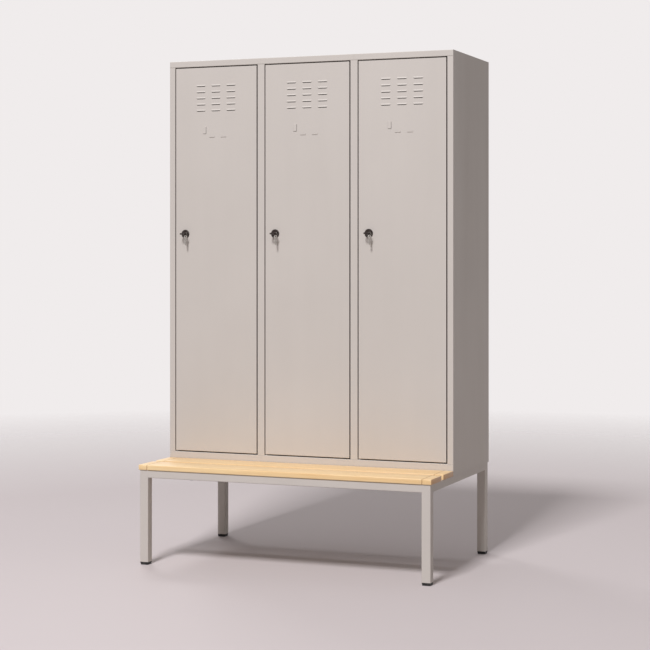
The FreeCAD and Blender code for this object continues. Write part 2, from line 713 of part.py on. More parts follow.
def coat_rail(name, bay):
    left, right = bay_walls(bay)
    tube = in_carcass(new_body(name + "_tube"))
    pad(tube, "YZ", [rail_oval("0"), rail_oval("-rail_wall")], left, right)
    sockets = []
    for side, start, end in (("left", left, f"{left} + socket_length"),
                             ("right", f"{right} - socket_length", right)):
        socket = in_carcass(new_body(f"{name}_{side}_socket"))
        pad(socket, "YZ", [rail_oval("fit_gap + socket_wall"), rail_oval("fit_gap")], start, end)
        sockets.append(socket)
    return group(name, [tube] + sockets)


def hinge_bushes(name):
    """A flanged bush above and below the hinge side of each door, flanges towards the door."""
    bushes = []
    for x in hinge_places():
        for end, level, up in (("top", "post_top", 1), ("bottom", "bottom_rail_face", -1)):
            bush = new_body(f"{name}_{end}")
            place(bush, f"left_side + {x}", "carcass_front + pin_setback", f"frame_top + {level}")
            flange = f"{-up} * bush_flange_height"
            far = f"{up} * bush_length"
            turn(bush, "XZ", ("bush_bore", flange), ("bush_flange_radius", flange),
                 ("bush_flange_radius", "0"), ("bush_radius", "0"), ("bush_radius", far),
                 ("bush_bore", far))
            bushes.append(bush)
    return group(name, bushes)


def door_buffers(name):
    buffers = []
    for post_edge in LOCK_POSTS:
        for level in BUFFER_LEVELS:
            buffer = new_body(name + "_buffer")
            place(buffer, f"left_side + {lip_centre(post_edge)}", "carcass_front", f"frame_top + {level}")
            front = "pan_depth + buffer_gap"
            seat = "rebate_depth"
            tail = "stop_back + buffer_tail"
            turn(buffer, "XY", ("0", front), ("buffer_radius", front), ("buffer_radius", seat),
                 ("buffer_stem", seat), ("buffer_stem", tail), ("0", tail))
            buffers.append(buffer)
    return group(name, buffers)


# Doors
def louvres(body):
    """Pressed hoods, open downwards, in rows and columns near the top of the door."""
    half = "louvre_length / 2"
    left = f"door_width / 2 - {(LOUVRE_COLUMNS - 1) / 2} * louvre_column_pitch"
    mouth = f"door_height - louvre_drop - {LOUVRE_ROWS - 1} * louvre_row_pitch"
    base = rectangle(f"{left} - {half}", mouth, f"{left} + {half}", f"{mouth} + louvre_height")
    lip = rectangle(f"{left} - {half} + louvre_taper", mouth, f"{left} + {half} - louvre_taper",
                    f"{mouth} + louvre_lip")
    hood = loft(body, "AdditiveLoft", "XZ", base, "0", lip, "-louvre_depth")
    inner_base = rectangle(f"{left} - {half} + sheet", f"{mouth} - sheet / 2",
                           f"{left} + {half} - sheet", f"{mouth} + louvre_height - 2 * sheet")
    inner_lip = rectangle(f"{left} - {half} + louvre_taper + sheet", f"{mouth} - sheet / 2",
                          f"{left} + {half} - louvre_taper - sheet",
                          f"{mouth} + louvre_lip - sheet")
    hollow = loft(body, "SubtractiveLoft", "XZ", inner_base, "sheet + fit_gap",
                  inner_lip, "sheet - louvre_depth")
    slot = rectangle(f"{left} - {half} + louvre_taper", f"{mouth} - louvre_gape",
                     f"{left} + {half} - louvre_taper", f"{mouth} + louvre_lip", "louvre_gape / 2")
    slit = cut(body, "XZ", [slot], "0", "sheet")
    doc.recompute()
    grid = body.newObject("PartDesign::LinearPattern", body.Name + "_louvres")
    grid.Originals = [hood, hollow, slit]
    grid.Direction = (hood.Profile[0], ["H_Axis"])
    grid.Occurrences = LOUVRE_COLUMNS
    bind(grid, "Length", f"{LOUVRE_COLUMNS - 1} * louvre_column_pitch")
    grid.Direction2 = (hood.Profile[0], ["V_Axis"])
    grid.Occurrences2 = LOUVRE_ROWS
    bind(grid, "Length2", f"{LOUVRE_ROWS - 1} * louvre_row_pitch")
    body.Tip = grid


def card_tabs(body):
    """Lanced tabs that hold a name card: a tongue beside it and two rests under it."""
    outer = "-(card_slot + sheet)"
    left = "door_width / 2 - card_side_offset"
    right = f"{left} + card_side_width"
    top = "door_height - card_side_drop"
    root = f"{top} - card_tab_hook"
    tip = f"{top} - card_side_length"
    window = rectangle(f"{left} - card_slit", f"{tip} - card_slit",
                       f"{right} + card_slit", root, "card_slit")
    cut(body, "XZ", [window], "0", "sheet")
    tongue = corners(("0", top), (outer, top, "card_slot"), (outer, tip),
                     ("-card_slot", tip), ("-card_slot", root), ("0", root))
    pad(body, "YZ", [tongue], left, right)
    low = "door_height - card_rest_drop - card_rest_height"
    rest = corners(("0", low), (outer, low), (outer, f"{low} + card_rest_height"),
                   ("-card_slot", f"{low} + card_rest_height"), ("-card_slot", f"{low} + card_tab_hook"),
                   ("0", f"{low} + card_tab_hook"))
    for sign in ("-", "+"):
        middle = f"door_width / 2 + card_rest_shift {sign} card_rest_pitch / 2"
        pad(body, "YZ", [rest], f"{middle} - card_rest_length / 2", f"{middle} + card_rest_length / 2")


def door(name):
    body = in_door(new_body(name))
    blank = pad(body, "XZ", [rectangle("0", "0", "door_width", "door_height")], "0", "pan_depth")
    round_edges(body, blank, "fold_outside", lambda box: box.YMax < 0.5)
    cavity = rectangle("sheet", "sheet", "door_width - sheet", "door_height - sheet", "fold_radius")
    cut(body, "XZ", [cavity], "sheet", "pan_depth - sheet")
    back = rectangle("pan_lip", "pan_lip", "door_width - pan_lip", "door_height - pan_lip")
    cut(body, "XZ", [back], "pan_depth - sheet", "pan_depth")
    cut(body, "XZ", [circle("lock_edge", "lock_z", "barrel_radius + fit_gap")], "0", "sheet")
    pin_hole = circle("hinge_x", "pin_setback", "pin_radius + fit_gap")
    cut(body, "XY", [pin_hole], "0", "sheet")
    cut(body, "XY", [pin_hole], "door_height - sheet", "door_height")
    card_tabs(body)
    louvres(body)
    return body


def door_stiffener(name):
    """Hat profile along the middle of the door, its brims on the inside of the skin."""
    body = in_door(new_body(name), "stiffener_rise")
    middle = "door_width / 2"
    brim = "stiffener_width / 2"
    crown = "stiffener_crown / 2"
    base = "2 * sheet"
    top = "sheet + stiffener_depth"
    profile = corners((f"{middle} - {brim}", "sheet"), (f"{middle} - {crown} + sheet", "sheet"),
                      (f"{middle} - {crown} + sheet", f"{top} - sheet"),
                      (f"{middle} + {crown} - sheet", f"{top} - sheet"),
                      (f"{middle} + {crown} - sheet", "sheet"), (f"{middle} + {brim}", "sheet"),
                      (f"{middle} + {brim}", base), (f"{middle} + {crown}", base),
                      (f"{middle} + {crown}", top), (f"{middle} - {crown}", top),
                      (f"{middle} - {crown}", base), (f"{middle} - {brim}", base))
    pad(body, "XY", [profile], "0", "stiffener_length")
    return body


def hinge_pins(name):
    """Collared pins through the ends of the door; the lower one carries it on a shoulder."""
    far = "-(door_gap + pin_reach)"
    lower = in_door(new_body(name + "_lower"))
    turn(lower, "XZ", ("0", far), ("pin_radius", far), ("pin_radius", "-shoulder_height"),
         ("collar_radius", "-shoulder_height"), ("collar_radius", "0"), ("pin_radius", "0"),
         ("pin_radius", "sheet"), ("collar_radius", "sheet"),
         ("collar_radius", "sheet + pin_collar_height"), ("pin_radius", "sheet + pin_collar_height"),
         ("pin_radius", "sheet + pin_grip"), ("0", "sheet + pin_grip"))
    upper = in_door(new_body(name + "_upper"), "door_height")
    turn(upper, "XZ", ("0", "-sheet - pin_grip"), ("pin_radius", "-sheet - pin_grip"),
         ("pin_radius", "-sheet - pin_collar_height"), ("collar_radius", "-sheet - pin_collar_height"),
         ("collar_radius", "-sheet"), ("pin_radius", "-sheet"),
         ("pin_radius", "door_gap + pin_reach"), ("0", "door_gap + pin_reach"))
    for pin in (lower, upper):
        bind(pin, "Placement.Base.x", "left_side + first_door_left + hinge_x")
        bind(pin, "Placement.Base.y", "carcass_front + pin_setback")
    return group(name, [lower, upper])


# Locks
def lock_housing(name):
    barrel = in_lock(new_body(name + "_barrel"))
    turn(barrel, "XY", ("plug_bore", "-rosette_height"),
         ("rosette_radius - rosette_bevel", "-rosette_height"),
         ("rosette_radius", "rosette_bevel - rosette_height"), ("rosette_radius", "0"),
         ("barrel_radius", "0"), ("barrel_radius", "barrel_end"), ("plug_bore", "barrel_end"))
    nut = in_lock(new_body(name + "_nut"))
    pad(nut, "XZ", [hexagon("0", "0", "nut_across"), circle("0", "0", "barrel_radius + fit_gap")],
        "sheet", "sheet + nut_height")
    return group(name, [barrel, nut])


def lock_plug(name):
    body = in_lock(new_body(name))
    pad(body, "XZ", [circle("0", "0", "plug_radius")], "-rosette_height", "cam_front")
    half = "tang_size / 2"
    pad(body, "XZ", [rectangle(f"-{half}", f"-{half}", half, half)], "cam_front", "cam_back")
    wide = "blade_width / 2 + fit_gap"
    high = "blade_thickness / 2 + fit_gap"
    cut(body, "XZ", [rectangle(f"-({wide})", f"-({high})", wide, high)], "-rosette_height",
        "blade_depth - rosette_height + fit_gap")
    cut(body, "XZ", [circle("0", "0", "cam_screw_radius + fit_gap")],
        "cam_back - cam_screw_depth - fit_gap", "cam_back")
    return body


def lock_cam(name):
    """Flat cam on the plug's tang, hanging straight down while the door is unlocked."""
    cam = in_lock(new_body(name + "_plate"))
    reach = "(cam_length - cam_width / 2) / 2"
    half = "tang_size / 2 + fit_gap"
    pad(cam, "XZ", [oval("0", f"-{reach}", "0", reach, "cam_width / 2"),
                    rectangle(f"-({half})", f"-({half})", half, half)], "cam_front", "cam_back")
    screw = in_lock(new_body(name + "_screw"))
    tip = "cam_back - cam_screw_depth"
    end = "cam_back + cam_screw_head_height"
    turn(screw, "XY", ("0", tip), ("cam_screw_radius", tip), ("cam_screw_radius", "cam_back"),
         ("cam_screw_head", "cam_back"), ("cam_screw_head", end), ("0", end))
    return group(name, [cam, screw])


def key(name):
    """Key in the lock with its bow level."""
    body = in_lock(new_body(name))
    hole_radius = "bow_radius - bow_side"
    bow = oval("0", "bow_y", "bow_half_length - bow_radius", "0", "bow_radius")
    hole = oval("0", "bow_y", f"bow_half_length - bow_rim - ({hole_radius})", "0", hole_radius)
    blank = pad(body, "XY", [bow, hole], "-bow_thickness / 2", "bow_thickness / 2")
    round_edges(body, blank, "bow_edge", lambda box: box.ZLength < 0.5)
    shoulder = "-rosette_height - key_neck - bow_side / 2"
    pad(body, "XY", [rectangle("-blade_width / 2", shoulder, "blade_width / 2",
                               "blade_depth - rosette_height")],
        "-blade_thickness / 2", "blade_thickness / 2")
    return body


def key_ring(name):
    """Wire ring that hangs from the right rim of the key bow."""
    ring = doc.addObject("Part::Torus", name)
    bind(ring, "Radius1", "ring_radius")
    bind(ring, "Radius2", "ring_wire")
    ring.Placement.Rotation = FreeCAD.Rotation(FreeCAD.Vector(1, 0, 0), 90)
    return place(ring, "left_side + first_door_left + lock_edge + rim_x", "carcass_front + bow_y",
                 "frame_top + door_bottom + lock_z + ring_z")


def spare_key(name):
    """Spare key that hangs on the lowest point of the key ring, turned half to the front."""
    body = new_body(name)
    body.Placement.Rotation = FreeCAD.Rotation(FreeCAD.Vector(0, 0, 1), SPARE_KEY_TURN)
    place(body, "left_side + first_door_left + lock_edge + rim_x", "carcass_front + bow_y",
          "frame_top + door_bottom + lock_z")
    half = "blade_thickness / 2"
    pad(body, "YZ", [circle("0", "spare_bow_z", "spare_bow_radius"),
                     circle("0", "spare_hole_z", "spare_hole_radius")], f"-{half}", half)
    bow_end = "spare_bow_z - spare_bow_radius"
    tip = f"{bow_end} - spare_blade_length"
    shoulder = f"{bow_end} + spare_rim"
    side = "blade_width / 2"
    blade = corners((f"-{side}", shoulder), (f"-{side}", f"{tip} + {side}"), ("0", tip),
                    (side, f"{tip} + {side}"), (side, shoulder))
    pad(body, "YZ", [blade], f"-{half}", half)
    return body


# Coat hooks
def coat_hook(name, bay, sign):
    """Moulded hook whose collar slides along the coat rail."""
    left, right = bay_walls(bay)
    body = new_body(name)
    place(body, f"left_side + (({left}) + ({right})) / 2 {sign} hook_pitch / 2",
          "carcass_front + coat_rail_y", "frame_top + coat_rail_z")
    half_collar = "hook_collar_length / 2"
    pad(body, "YZ", [oval("0", "0", "0", "rail_centre", "hook_shell"),
                     oval("0", "0", "0", "rail_centre", "hook_bore")], f"-{half_collar}", half_collar)
    half = "hook_thickness / 2"
    bend = "-hook_drop"
    pad(body, "YZ", [circle("hook_bend_y", bend, "hook_outer"),
                     circle("hook_bend_y", bend, "hook_radius")], f"-{half}", half)
    upper = rectangle("-hook_width", bend, "hook_bend_y + hook_outer + hook_width",
                      f"{bend} + hook_outer + hook_width")
    outer_half = "hook_width / 2"
    cut(body, "YZ", [upper], f"-{half}", half)
    pad(body, "YZ", [rectangle(f"-{outer_half}", bend, outer_half,
                               "-(rail_centre + hook_bore + hook_collar / 2)")], f"-{half}", half)
    far = "hook_bend_y + hook_radius"
    pad(body, "YZ", [rectangle(far, bend, f"{far} + hook_width", f"{bend} + hook_tip")], f"-{half}", half)
    return body


# Bench
def square_ring(x, y, size):
    """Outer and inner outline of a square tube whose corner is at x and y."""
    return [rectangle(x, y, f"{x} + {size}", f"{y} + {size}", "tube_round"),
            rectangle(f"{x} + tube_wall", f"{y} + tube_wall", f"{x} + {size} - tube_wall",
                      f"{y} + {size} - tube_wall", "tube_inner_round")]


LEG_CORNERS = [(x, y) for x in ("frame_left", "-frame_left - leg_size")
               for y in ("frame_front", "-bench_front - leg_size")]


def drill_rail(body, places, radius):
    """Upright holes through both walls of a bench rail."""
    cut(body, "XY", [circle(x, y, radius) for x, y in places], "bench_rail_bottom - sheet",
        "frame_top + sheet")


def long_rail(name, front, side_gap):
    """Bench rail across the unit, between two legs or two side rails."""
    body = new_body(name)
    pad(body, "YZ", square_ring(front, "bench_rail_bottom", "bench_rail_size"),
        f"frame_left + {side_gap}", f"-frame_left - {side_gap}")
    return body


def deep_rail(name, left, front, back):
    """Bench rail from front to back."""
    body = new_body(name)
    pad(body, "XZ", square_ring(left, "bench_rail_bottom", "bench_rail_size"), front, back)
    return body


BOTH_SIDES = (-1, 1)
SEAT_SCREWS_FRONT = [(f"{side} * screw_pitch", "front_screw_y") for side in BOTH_SIDES]
SEAT_SCREWS_REAR = [(f"{side} * screw_pitch", "rear_screw_y") for side in BOTH_SIDES]
CLEAT_SCREWS_FRONT = [(f"{-side} * side_screw_x", "front_cleat_screw_y") for side in BOTH_SIDES]
CLEAT_SCREWS_REAR = [(f"{-side} * side_screw_x", "rear_cleat_screw_y") for side in BOTH_SIDES]
FRONT_BOLTS = [(f"{side} * bolt_pitch / 2", "front_bolt_y") for side in BOTH_SIDES]
REAR_BOLTS = [(f"{side} * bolt_pitch / 2", "rear_bolt_y") for side in BOTH_SIDES]


def bench_front_rail(name):
    body = long_rail(name, "frame_front", "leg_size")
    drill_rail(body, SEAT_SCREWS_FRONT, "screw_radius + fit_gap")
    return body


def bench_rear_rail(name):
    body = long_rail(name, "-bench_front - bench_rail_size", "leg_size")
    drill_rail(body, REAR_BOLTS, "bolt_radius + fit_gap")
    return body


def bench_mid_rail(name):
    body = long_rail(name, "mid_rail_front", "bench_rail_size")
    drill_rail(body, SEAT_SCREWS_REAR, "screw_radius + fit_gap")
    drill_rail(body, FRONT_BOLTS, "bolt_radius + fit_gap")
    return body


def bench_side_rails(name):
    rails = []
    for index, left in enumerate(("frame_left", "-frame_left - bench_rail_size")):
        rail = deep_rail(f"{name}_{index + 1}", left, "frame_front + leg_size", "-bench_front - leg_size")
        drill_rail(rail, [CLEAT_SCREWS_FRONT[index], CLEAT_SCREWS_REAR[index]], "screw_radius + fit_gap")
        rails.append(rail)
    return group(name, rails)


def bench_cross_bars(name):
    """Two short bars under the middle, one below the seat and one below the carcass."""
    left = "-bench_rail_size / 2"
    seat_bar = deep_rail(name + "_seat", left, "frame_front + bench_rail_size", "mid_rail_front")
    rear_bar = deep_rail(name + "_rear", left, "mid_rail_front + bench_rail_size",
                         "-bench_front - bench_rail_size")
    return group(name, [seat_bar, rear_bar])


def bench_legs(name):
    legs = []
    for x, y in LEG_CORNERS:
        leg = new_body(name + "_leg")
        pad(leg, "XY", square_ring(x, y, "leg_size"), "glide_height", "frame_top")
        legs.append(leg)
    return group(name, legs)


def leg_glides(name):
    """Black caps that narrow to the floor, each with a stem inside its leg."""
    glides = []
    for x, y in LEG_CORNERS:
        glide = new_body(name + "_glide")
        foot = rectangle(f"{x} + glide_taper", f"{y} + glide_taper", f"{x} + leg_size - glide_taper",
                         f"{y} + leg_size - glide_taper", "tube_round")
        brim = rectangle(x, y, f"{x} + leg_size", f"{y} + leg_size", "tube_round")
        loft(glide, "AdditiveLoft", "XY", foot, "0", brim, "glide_height")
        near = "tube_wall + fit_gap"
        stem = rectangle(f"{x} + {near}", f"{y} + {near}", f"{x} + leg_size - ({near})",
                         f"{y} + leg_size - ({near})", "tube_round")
        pad(glide, "XY", [stem], "glide_height", "glide_height + glide_stem")
        glides.append(glide)
    return group(name, glides)


# Seat
def board_profile(front, back):
    """Section of a seat board with its long edges rounded."""
    top = "frame_top + seat_thickness"
    return corners((front, "frame_top", "seat_low_edge"), (back, "frame_top", "seat_low_edge"),
                   (back, top, "seat_edge"), (front, top, "seat_edge"))


BOARDS = {"front": ("bench_front", "bench_front + board_width"),
          "rear": ("rear_board_front", "rear_board_front + board_width")}


def bore_wood(body, places):
    """Blind holes for seat screws."""
    cut(body, "XY", [circle(x, y, "screw_radius + fit_gap") for x, y in places], "frame_top - sheet",
        "frame_top + screw_bite + fit_gap")


def seat_board(name, row, screws):
    body = new_body(name)
    pad(body, "YZ", [board_profile(*BOARDS[row])], "left_side + cleat_width + cleat_seam",
        "-left_side - cleat_width - cleat_seam")
    bore_wood(body, screws)
    return body


def seat_end_cleats(name):
    """Short pieces that close the ends of both seat boards."""
    cleats = []
    for row, screws in (("front", CLEAT_SCREWS_FRONT), ("rear", CLEAT_SCREWS_REAR)):
        for index, start in enumerate(("left_side", "-left_side - cleat_width")):
            cleat = new_body(f"{name}_{row}")
            pad(cleat, "YZ", [board_profile(*BOARDS[row])], start, f"{start} + cleat_width")
            bore_wood(cleat, [screws[index]])
            cleats.append(cleat)
    return group(name, cleats)


def seat_screws(name):
    """Screws up through the bench rails into the seat."""
    screws = []
    for x, y in SEAT_SCREWS_FRONT + SEAT_SCREWS_REAR + CLEAT_SCREWS_FRONT + CLEAT_SCREWS_REAR:
        screw = place(new_body(name + "_screw"), x, y, "bench_rail_bottom")
        tip = "bench_rail_size + screw_bite"
        turn(screw, "XZ", ("0", "-screw_head_height"), ("screw_head_radius", "-screw_head_height"),
             ("screw_head_radius", "0"), ("screw_radius", "0"), ("screw_radius", f"{tip} - screw_radius"),
             ("0", tip))
        screws.append(screw)
    return screws


def carcass_bolts(name):
    """Bolts up through the bench rails, with nuts on the flanges of the floor panel."""
    bolts = []
    for x, y in FRONT_BOLTS + REAR_BOLTS:
        bolt = place(new_body(name + "_bolt"), x, y, "bench_rail_bottom")
        flange_top = "bench_rail_size + sheet"
        shank_end = f"{flange_top} + bolt_head_height"
        pad(bolt, "XY", [hexagon("0", "0", "bolt_head_across")], "-bolt_head_height", "0")
        pad(bolt, "XY", [circle("0", "0", "bolt_radius")], "0", f"{shank_end} + bolt_radius / 2")
        nut = place(new_body(name + "_nut"), x, y, "bench_rail_bottom")
        pad(nut, "XY", [hexagon("0", "0", "bolt_head_across"), circle("0", "0", "bolt_radius + fit_gap")],
            flange_top, shank_end)
        bolts += [bolt, nut]
    return bolts


def bench_fasteners(name):
    return group(name, seat_screws(name) + carcass_bolts(name))


def build():
    for make_piece in (left_side_panel, right_side_panel, top_panel, bottom_panel, back_panel,
                       hinge_bushes, door_buffers, bench_front_rail, bench_rear_rail,
                       bench_mid_rail, bench_side_rails, bench_cross_bars, bench_legs, leg_glides,
                       seat_end_cleats, door_stops, bench_fasteners):
        keep(make_piece.__name__, make_piece(make_piece.__name__))
    keep("partition_left", partition("partition_left", 0))
    keep("partition_right", partition("partition_right", 1))
    keep("seat_board_front", seat_board("seat_board_front", "front", SEAT_SCREWS_FRONT))
    keep("seat_board_rear", seat_board("seat_board_rear", "rear", SEAT_SCREWS_REAR))
    for bay in range(BAYS):
        number = bay + 1
        keep(f"hat_shelf_{number}", hat_shelf(f"hat_shelf_{number}", bay))
        keep(f"coat_rail_{number}", coat_rail(f"coat_rail_{number}", bay))
        for side, sign in (("left", "-"), ("right", "+")):
            name = f"coat_hook_{number}_{side}"
            keep(name, coat_hook(name, bay, sign))
    for make_piece in (door, door_stiffener, hinge_pins, lock_housing, lock_plug, lock_cam, key,
                       key_ring, spare_key):
        keep_in_bays(make_piece.__name__, make_piece)


def check():
    """Stop if any object failed or any node has no sound shape."""
    faults = []
    for item in doc.Objects:
        if "Invalid" in item.State or "Error" in item.State:
            faults.append(f"{item.Name}: {item.State}")
    for name, piece in nodes.items():
        if piece.Shape.isNull() or not piece.Shape.isValid() or not piece.Shape.Solids:
            faults.append(f"{name}: shape")
    if faults:
        raise RuntimeError("failed: " + "; ".join(faults))


def export():
    os.makedirs("parts", exist_ok=True)
    for name, piece in nodes.items():
        piece.Shape.exportStep(f"parts/{name}.step")


build()
doc.recompute()
check()
export()
print(len(nodes), "nodes,", sum(len(piece.Shape.Solids) for piece in nodes.values()), "solids")
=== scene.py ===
"""Looks of a steel cloakroom locker with a bench seat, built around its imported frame.

The file is laid out as an add-on. Each operator dresses one group of pieces: the carcass,
the doors, the locks and keys, the wooden seat, the bench, the inside of the bays and the
stage. All lengths are in metres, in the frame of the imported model.
"""
import math

import bmesh
import bpy
from bpy.props import FloatProperty, FloatVectorProperty, PointerProperty
from bpy.types import Operator, Panel, PropertyGroup
from mathutils import Matrix, Vector


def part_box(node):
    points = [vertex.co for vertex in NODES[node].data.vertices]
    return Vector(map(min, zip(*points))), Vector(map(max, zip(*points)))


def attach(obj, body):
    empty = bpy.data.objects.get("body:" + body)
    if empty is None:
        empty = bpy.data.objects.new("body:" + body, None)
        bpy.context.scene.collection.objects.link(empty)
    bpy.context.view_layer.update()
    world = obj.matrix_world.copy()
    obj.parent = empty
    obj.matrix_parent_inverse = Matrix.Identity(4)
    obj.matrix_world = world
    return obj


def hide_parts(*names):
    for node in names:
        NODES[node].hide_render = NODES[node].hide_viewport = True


bl_info = {
    "name": "Cloakroom Locker Looks",
    "version": (1, 0, 0),
    "blender": (4, 5, 0),
    "location": "3D View > Sidebar > Locker",
    "description": "Dresses a steel locker with a bench seat in paint, wood, plastic and metal",
    "category": "Object",
}

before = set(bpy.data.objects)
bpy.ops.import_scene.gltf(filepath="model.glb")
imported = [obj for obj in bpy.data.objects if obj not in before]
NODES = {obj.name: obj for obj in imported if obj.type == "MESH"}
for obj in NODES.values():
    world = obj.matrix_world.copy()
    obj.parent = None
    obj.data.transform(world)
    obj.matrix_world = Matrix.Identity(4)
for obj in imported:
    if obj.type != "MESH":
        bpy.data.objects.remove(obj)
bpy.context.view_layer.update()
BAYS = (1, 2, 3)
SAME_PLACE = 1e-6
CREASE = math.radians(34.0)


def shown(red, green, blue):
    """Linear colour of a colour written as it shows on a screen, from 0 to 255."""
    channels = []
    for value in (red, green, blue):
        share = value / 255
        channels.append(share / 12.92 if share <= 0.04045 else ((share + 0.055) / 1.055) ** 2.4)
    return tuple(channels)


def with_alpha(colour):
    return (*colour, 1.0)


def colour_property(name, description, default):
    return FloatVectorProperty(name=name, description=description, subtype="COLOR", size=3,
                               min=0.0, max=1.0, default=default)


def place_property(name, description, default):
    return FloatVectorProperty(name=name, description=description, subtype="TRANSLATION", size=3,
                               unit="LENGTH", default=default)


def length_property(name, description, default):
    return FloatProperty(name=name, description=description, default=default, min=0.0,
                         precision=5, subtype="DISTANCE", unit="LENGTH")


def share_property(name, description, default):
    return FloatProperty(name=name, description=description, default=default, min=0.0, max=1.0,
                         subtype="FACTOR")


def angle_property(name, description, degrees):
    return FloatProperty(name=name, description=description, default=math.radians(degrees),
                         subtype="ANGLE", unit="ROTATION")


def power_property(name, description, default):
    return FloatProperty(name=name, description=description, default=default, min=0.0, unit="POWER")


def number_property(name, description, default, low=0.0):
    return FloatProperty(name=name, description=description, default=default, min=low)


class LockerFinish(PropertyGroup):
    """Colours and surface values of the locker's finishes."""

    coat_colour: colour_property("Powder coat", "Paint on the steel sheet and tube", shown(202, 195, 191))
    coat_roughness: share_property("Coat roughness", "Middle roughness of the powder coat", 0.56)
    coat_patches: share_property("Coat patches", "How far the paint's tone drifts over a panel", 0.35)
    coat_gloss: share_property("Coat gloss", "Strength of the paint's reflections", 0.3)
    peel_grain: length_property("Orange peel", "Size of the ripples in the powder coat", 0.0016)
    # Paler edges: partly rubbed wear, partly a painted highlight where folded edges catch the light.
    edge_wear_and_highlight_colour: colour_property("Rubbed paint", "Paint on handled edges", shown(228, 223, 217))
    edge_radius: length_property("Edge radius", "Reach of the rubbed paint along folded edges", 0.0022)
    edge_lightening: share_property("Edge rub", "How much lighter folded edges are", 0.05)
    # Painted shade: a near-black colour darkens narrow gaps and tight corners, where little light reaches.
    gap_shade_colour: colour_property("Grime", "Dirt in narrow gaps", shown(38, 31, 27))
    gap_shade: share_property("Grime amount", "How dark the paint is in narrow gaps", 0.7)
    gap_shade_reach: length_property("Grime reach", "Width of the gaps that hold grime", 0.006)
    dust_colour: colour_property("Dust", "Dust on the paint", shown(196, 190, 182))
    dust: share_property("Dust amount", "Dust on faces that look up", 0.22)
    wood_light: colour_property("Light wood", "Early wood of the seat boards", shown(246, 219, 173))
    wood_dark: colour_property("Dark wood", "Late wood and pores of the boards", shown(222, 175, 116))
    # Cut ends: partly the darker colour of real end grain, partly painted shade.
    end_grain_and_shade: colour_property("End wood", "Cut ends of the seat boards", shown(186, 138, 88))
    wood_roughness: share_property("Wood roughness", "Middle roughness of the seat's wood", 0.42)
    lacquer: share_property("Lacquer", "Amount of lacquer on the wood", 0.25)
    lacquer_roughness: share_property("Lacquer roughness", "Roughness of that lacquer", 0.28)
    glide_colour: colour_property("Glide plastic", "Black glides under the legs", shown(22, 21, 22))
    hook_colour: colour_property("Hook plastic", "Sliding coat hooks", shown(34, 34, 37))
    nylon_colour: colour_property("Nylon", "Hinge bushes", shown(58, 56, 54))
    rubber_colour: colour_property("Rubber", "Door buffers", shown(34, 33, 33))
    zinc_colour: colour_property("Zinc plate", "Cams, bolts and screws", shown(196, 198, 202))
    pin_colour: colour_property("Pin steel", "Burnished steel of the hinge pins", shown(112, 107, 103))
    key_colour: colour_property("Key metal", "Worn nickel of the keys and rings", shown(186, 182, 177))
    chrome_colour: colour_property("Chrome", "Coat rails", shown(214, 215, 218))
    lock_colour: colour_property("Lock black", "Locks and key bows", shown(46, 36, 33))
    lock_rub_colour: colour_property("Rubbed black", "Handled edges of locks and bows", shown(120, 112, 106))
    lock_roughness: share_property("Lock roughness", "Middle roughness of the black plate", 0.34)
    lock_metal: share_property("Lock metal", "How far the black plate reflects as metal does", 0.55)


class LockerShape(PropertyGroup):
    """Sizes of the details that are modelled here."""

    board_round: length_property("Board edge", "Rounding of the boards' long edges", 0.0025)
    board_end_round: length_property("Board end", "Rounding of the boards' ends", 0.0008)
    board_seam: length_property("Board seam", "Open seam between a board and its end cleat", 0.0016)
    key_thickness: length_property("Key thickness", "Thickness of the keys' metal", 0.0022)
    key_edge: length_property("Key edge", "Rounding of the spare keys", 0.00025)
    key_bow: length_property("Key bow", "Radius of a spare key's bow", 0.008)
    key_hole: length_property("Key hole", "Radius of the hole in that bow", 0.0025)
    key_rim: length_property("Key rim", "Metal above that hole", 0.0025)
    key_blade: length_property("Key blade", "Width of a key's blade", 0.007)
    key_groove: length_property("Key groove", "Width of the groove along a blade", 0.0016)
    key_turn: angle_property("Key turn", "Level turn of the spare keys", -35.0)
    ring_wire: length_property("Ring wire", "Radius of a split ring's wire", 0.0004)
    ring_turns: number_property("Ring turns", "Turns of a split key ring", 1.9, low=1.0)
    weld_radius: length_property("Weld bead", "Half the width of the weld beads on the bench", 0.0021)
    tube_round: length_property("Tube corner", "Rounded corners of the bench tubes", 0.0025)


class LockerStage(PropertyGroup):
    """Camera, lamps and floor."""

    lamp_place: place_property("Key lamp", "Where the large lamp in front hangs", (0.15, -9.6, 11.8))
    lamp_target: place_property("Key lamp target", "What that lamp points at", (0.0, 0.0, 0.9))
    lamp_size: length_property("Key lamp size", "Side of that square lamp", 2.7)
    key_power: power_property("Key lamp power", "Power of that lamp", 1930.0)
    back_place: place_property("Back lamp", "Where the soft lamp behind hangs", (-3.9, 4.0, 6.6))
    back_target: place_property("Back lamp target", "What that lamp points at", (0.0, 0.2, 1.0))
    back_size: length_property("Back lamp size", "Side of that square lamp", 1.8)
    back_power: power_property("Back lamp power", "Power of that lamp", 110.0)
    room_light: number_property("Room light", "Strength of the even light", 0.27)
    room_colour: colour_property("Room colour", "Colour of the even light", (1.0, 0.945, 0.9))
    camera_place: place_property("Camera", "Where the camera stands", (2.5485, -6.343, 1.226))
    camera_turn: angle_property("Camera turn", "Level turn of the camera", 21.62)
    camera_lens: number_property("Lens", "Focal length in millimetres", 95.1, low=1.0)
    camera_shift: number_property("Shift", "Upward shift, as a share of the picture", -0.1143, low=-1.0)
    floor_colour: colour_property("Floor", "Pale floor", shown(200, 191, 193))
    floor_bounce: colour_property("Floor bounce", "Floor as the locker sees it", shown(184, 176, 173))
    floor_radius: length_property("Floor radius", "Radius of the floor", 14.0)
    fade_start: length_property("Fade start", "Distance at which the floor begins to fade", 2.2)
    fade_end: length_property("Fade end", "Distance at which the floor is gone", 6.5)
    backdrop_colour: colour_property("Backdrop", "What is seen beyond the floor", shown(240, 236, 236))


def finish():
    return bpy.context.scene.locker_finish


def shape():
    return bpy.context.scene.locker_shape


